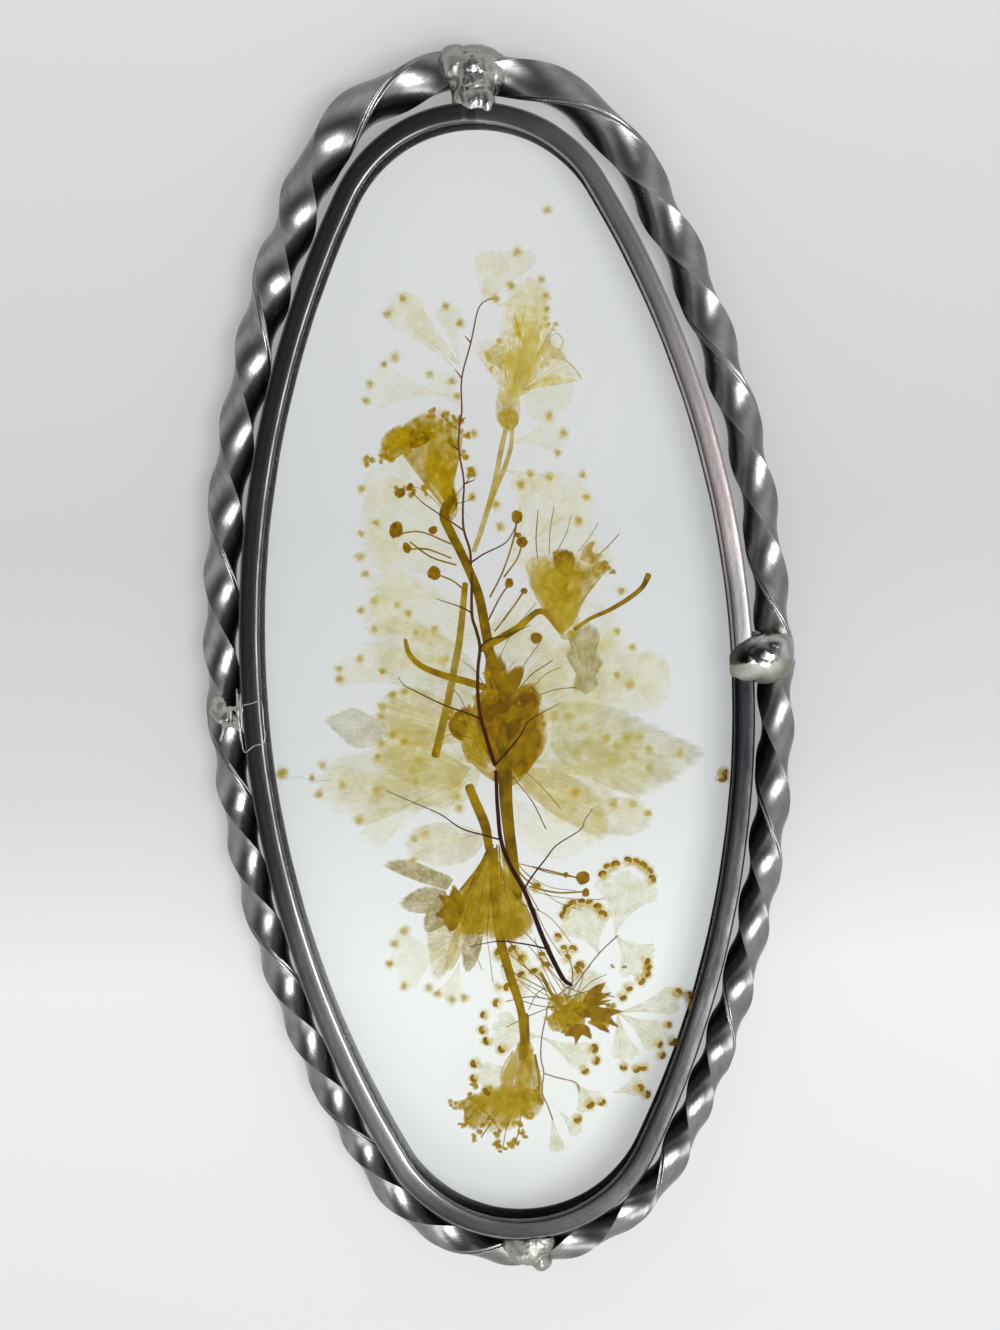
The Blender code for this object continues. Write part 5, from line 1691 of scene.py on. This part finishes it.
# Petal looks, look of the florets, floret count at a place, their roughness, look of the stems, slot, layer.
FLOWER_LOOKS = {
    "flower_top": ((STRAW, GOLD, OCHRE), CRUMB, 3, 0.5, STEM_PALE, "petal", 3),
    "flower_upper_left": ((AMBER, OCHRE, BROWN), BEAD, 5, 0.5, STEM_DARK, "flower_ochre", 2),
    "flower_right": ((AMBER, GOLD, BROWN), BEAD, 3, 0.6, FLESH, "flower_ochre", 3),
    "flower_centre": ((BROWN, OLIVE, DARK), BEAD, 3, 0.6, STEM_DARK, "flower_brown", 3),
    "flower_lower_left": ((OLIVE, GREY, BROWN, GOLD), BEAD, 3, 0.6, FLESH, "petal", 3),
    "flower_low_right": ((OCHRE, BROWN, BROWN), BEAD, 3, 0.8, FLESH, "flower_brown", 3),
    "flower_bottom": ((AMBER, GOLD, BROWN), BEAD, 4, 0.35, FLESH, "flower_ochre", 2),
}


def make_flowers():
    """The seven flowers: petals, stems, clusters of florets, and threads."""
    draw = random.Random(11)
    for name, (looks, floret, count, rough, stem_look, slot, layer) in FLOWER_LOOKS.items():
        shape = Shape()
        z = layer_z(layer)
        vein, flesh, bead = len(looks), len(looks) + 1, len(looks) + 2
        for number, (look, outline) in enumerate(FLOWER_PETALS[name]):
            height = z + (number % 3 - 1) * 0.05
            add_petal(shape, outline, height, number * 1.7 + layer, look, vein)
        for stem in FLOWER_STEMS[name]:
            add_stem(shape, stem, z, sides=12, flat=0.16, mark=flesh)
        for x, y in (spot(*p) for p in FLORETS[name]):
            for _ in range(count):
                dx, dy = draw.uniform(-0.45, 0.45), draw.uniform(-0.45, 0.45)
                add_ball(shape, x + dx, y + dy, z + draw.uniform(-0.02, 0.05), draw.uniform(0.2, 0.42),
                         draw.uniform(0.3, 0.52), draw.uniform(0, 180), draw.random() * 9, bead, 0.06, rough)
        for thread in FILAMENTS[name]:
            add_stem(shape, thread, z + 0.03, draw.uniform(0.032, 0.06), mark=flesh)
        shape.build(name.replace("flower", "bloom"), [*looks, VEIN, stem_look, floret], [name])


def make_sheets():
    """Pale sheets of overlapping tissue behind the rest."""
    looks = {"cream": CREAM, "gold": GOLD, "pale": BLADE, "straw": STRAW}
    shape = Shape()
    for number, (look, layer, outline) in enumerate(SHEETS):
        mark = list(looks).index(look)
        add_petal(shape, outline, layer_z(layer) + 0.06, 60 + number, mark, len(looks), 9, 0.025)
    shape.build("pale_sheets", [*looks.values(), BLADE_VEIN])


def make_petals():
    """Loose petals and bare stems."""
    looks = {"petal_large_right": PALE, "petal_left": PALE, "petal_right": BLADE, "petal_grey": GREY}
    for number, (name, outline) in enumerate(LOOSE_PETALS.items()):
        shape = Shape()
        veins = 15 if looks[name] is PALE else 0
        add_petal(shape, outline, layer_z(2), 30 + number, 0, 1, veins, thickness=0.03)
        shape.build(name.replace("petal", "loose_petal"), [looks[name], CLEAR_VEIN], [name])
    for name, (layer, points) in STEMS.items():
        shape = Shape()
        add_stem(shape, points, layer_z(layer), sides=12, flat=0.16)
        shape.build(name.replace("stem", "bare_stem"), [FLESH], [name])


def make_buds():
    """Bud sprigs: thin stalks, and round buds with a smaller swelling on each."""
    draw = random.Random(23)
    for name, (stalks, buds) in BUDS.items():
        z = layer_z(2 if name == "buds_right" else 3)
        shape = Shape()
        for stalk in stalks:
            add_stem(shape, stalk, z, 0.09, mark=1)
        for x, y, across, along, turn in buds:
            px, py = spot(x, y)
            add_ball(shape, px, py, z, across, along, turn, draw.random() * 9, 0, 0.09, 0.25)
            add_ball(shape, px, py, z + 0.03, across * 0.5, along * 0.55, turn + 20, draw.random() * 9, 0,
                     0.08, 0.3)
        shape.build(name.replace("buds", "seed_buds"), [BUD, FLESH], [name])


def make_stage():
    """A pale sheet under the frame that glows from within, with painted light: its colour and glow are paler
    towards its near end, darker across the middle and brighter inside the oval.
    """
    mesh = bpy.data.meshes.new("floor")
    far = FLOOR_REACH
    mesh.from_pydata([(-far, -far, 0), (far, -far, 0), (far, far, 0), (-far, far, 0)], [], [(0, 1, 2, 3)])
    floor = bpy.data.objects.new("floor", mesh)
    bpy.context.scene.collection.objects.link(floor)
    material, tree, shader = new_material("pale_floor")
    shader.inputs["Roughness"].default_value = 0.9
    shader.inputs["Specular IOR Level"].default_value = 0.1
    across, along, _ = axes(tree)
    # Painted light along the floor: paler towards the near end and darker across the middle, in both its
    # colour and its glow.
    painted_light_ramp = ramp(tree, fit_range(tree, along, -0.068, 0.068),
                ((0.0, (0.285, 0.289, 0.285)), (0.26, (0.305, 0.312, 0.309)), (0.42, (0.248, 0.252, 0.254)),
                 (0.6, (0.228, 0.23, 0.234)), (1.0, (0.265, 0.265, 0.266))))
    tree.links.new(painted_light_ramp, shader.inputs["Base Color"])
    tree.links.new(painted_light_ramp, shader.inputs["Emission Color"])
    # Share of the way to the oval's edge, squared: the floor glows more inside, to make up for the glass.
    squares = [maths(tree, "POWER", maths(tree, "DIVIDE", place, half * MM), 2.0)
               for place, half in ((across, HALF_WIDTH), (along, HALF_LENGTH))]
    glow = fit_range(tree, maths(tree, "ADD", *squares), 1.15, 0.85, 1.28, 1.62, smooth=True)
    tree.links.new(glow, shader.inputs["Emission Strength"])
    floor.data.materials.append(material)


def add_light(name, place, aim, size, power):
    """A soft rectangular lamp aimed at a point."""
    data = bpy.data.lights.new(name, "AREA")
    data.shape = "RECTANGLE"
    data.size, data.size_y = size
    data.energy = power
    light = bpy.data.objects.new(name, data)
    bpy.context.scene.collection.objects.link(light)
    light.location = place
    light.rotation_mode = "QUATERNION"
    light.rotation_quaternion = (Vector(aim) - Vector(place)).to_track_quat("-Z", "Y")


def make_lights():
    """A key lamp at the lower right, a weaker one below, and a pale studio round about."""
    middle = (CENTRE.x, CENTRE.y, 0.003)
    add_light("key", KEY_PLACE, middle, (KEY_SIZE, KEY_SIZE), KEY_POWER)
    add_light("fill_below", FILL_PLACE, middle, FILL_SIZE, FILL_POWER)
    world = bpy.data.worlds.new("studio")
    bpy.context.scene.world = world
    world.use_nodes = True
    tree = world.node_tree
    background = tree.nodes["Background"]
    # Bright walls all round; overhead it is dark on the left and paler on the right.
    east, north, up = axes(tree, "Generated")
    slope = maths(tree, "ADD", maths(tree, "MULTIPLY", east, 4.2), maths(tree, "MULTIPLY", north, -1.3))
    overhead = maths(tree, "ADD", slope, 0.3)
    overhead = maths(tree, "MINIMUM", maths(tree, "MAXIMUM", overhead, 0.012), 0.8)
    walls = ramp(tree, up, ((0.0, (0.9, 0.9, 0.9)), (0.5, (0.95, 0.95, 0.95)), (0.74, (0.4, 0.4, 0.4)),
                            (0.9, (0.05, 0.05, 0.05))))
    sky = mix_colour(tree, zone(tree, up, 0.93, 0.975), walls, overhead)
    tree.links.new(sky, background.inputs["Color"])
    background.inputs["Strength"].default_value = STUDIO_STRENGTH


def make_camera():
    """Camera at the photograph's angle: a little above and to the right of the middle, turned by the lean."""
    face = RIM_DEPTH * MM
    aim = Vector((CENTRE.x + AIM_OFFSET[0], CENTRE.y + AIM_OFFSET[1], face))
    place = Vector((CENTRE.x + CAMERA_OFFSET[0], CENTRE.y + CAMERA_OFFSET[1], face + CAMERA_DISTANCE))
    data = bpy.data.cameras.new("camera")
    data.sensor_width = 36
    frame_height = PHOTO_HEIGHT / PHOTO_FRONT_SCALE * MM
    data.lens = data.sensor_width * (place - aim).length / frame_height
    data.clip_start = 0.01
    data.clip_end = 20
    camera = bpy.data.objects.new("camera", data)
    bpy.context.scene.collection.objects.link(camera)
    back = (place - aim).normalized()
    up = Vector((math.sin(PHOTO_LEAN), math.cos(PHOTO_LEAN), 0))
    right = up.cross(back).normalized()
    up = back.cross(right)
    camera.matrix_world = Matrix.Translation(place) @ Matrix((right, up, back)).transposed().to_4x4()
    bpy.context.scene.camera = camera


def set_look():
    """Plain colours, and few enough light bounces for the stacked sheets of tissue."""
    scene = bpy.context.scene
    scene.view_settings.view_transform = "Standard"
    scene.cycles.max_bounces = 8
    scene.cycles.transmission_bounces = 6
    scene.cycles.transparent_max_bounces = 48


set_look()
make_camera()
make_stage()
make_lights()
make_rim()
make_border()
make_glass()
make_solder()
make_stalk()
make_leaflets()
make_sprig()
make_sori()
make_sheets()
make_flowers()
make_petals()
make_buds()
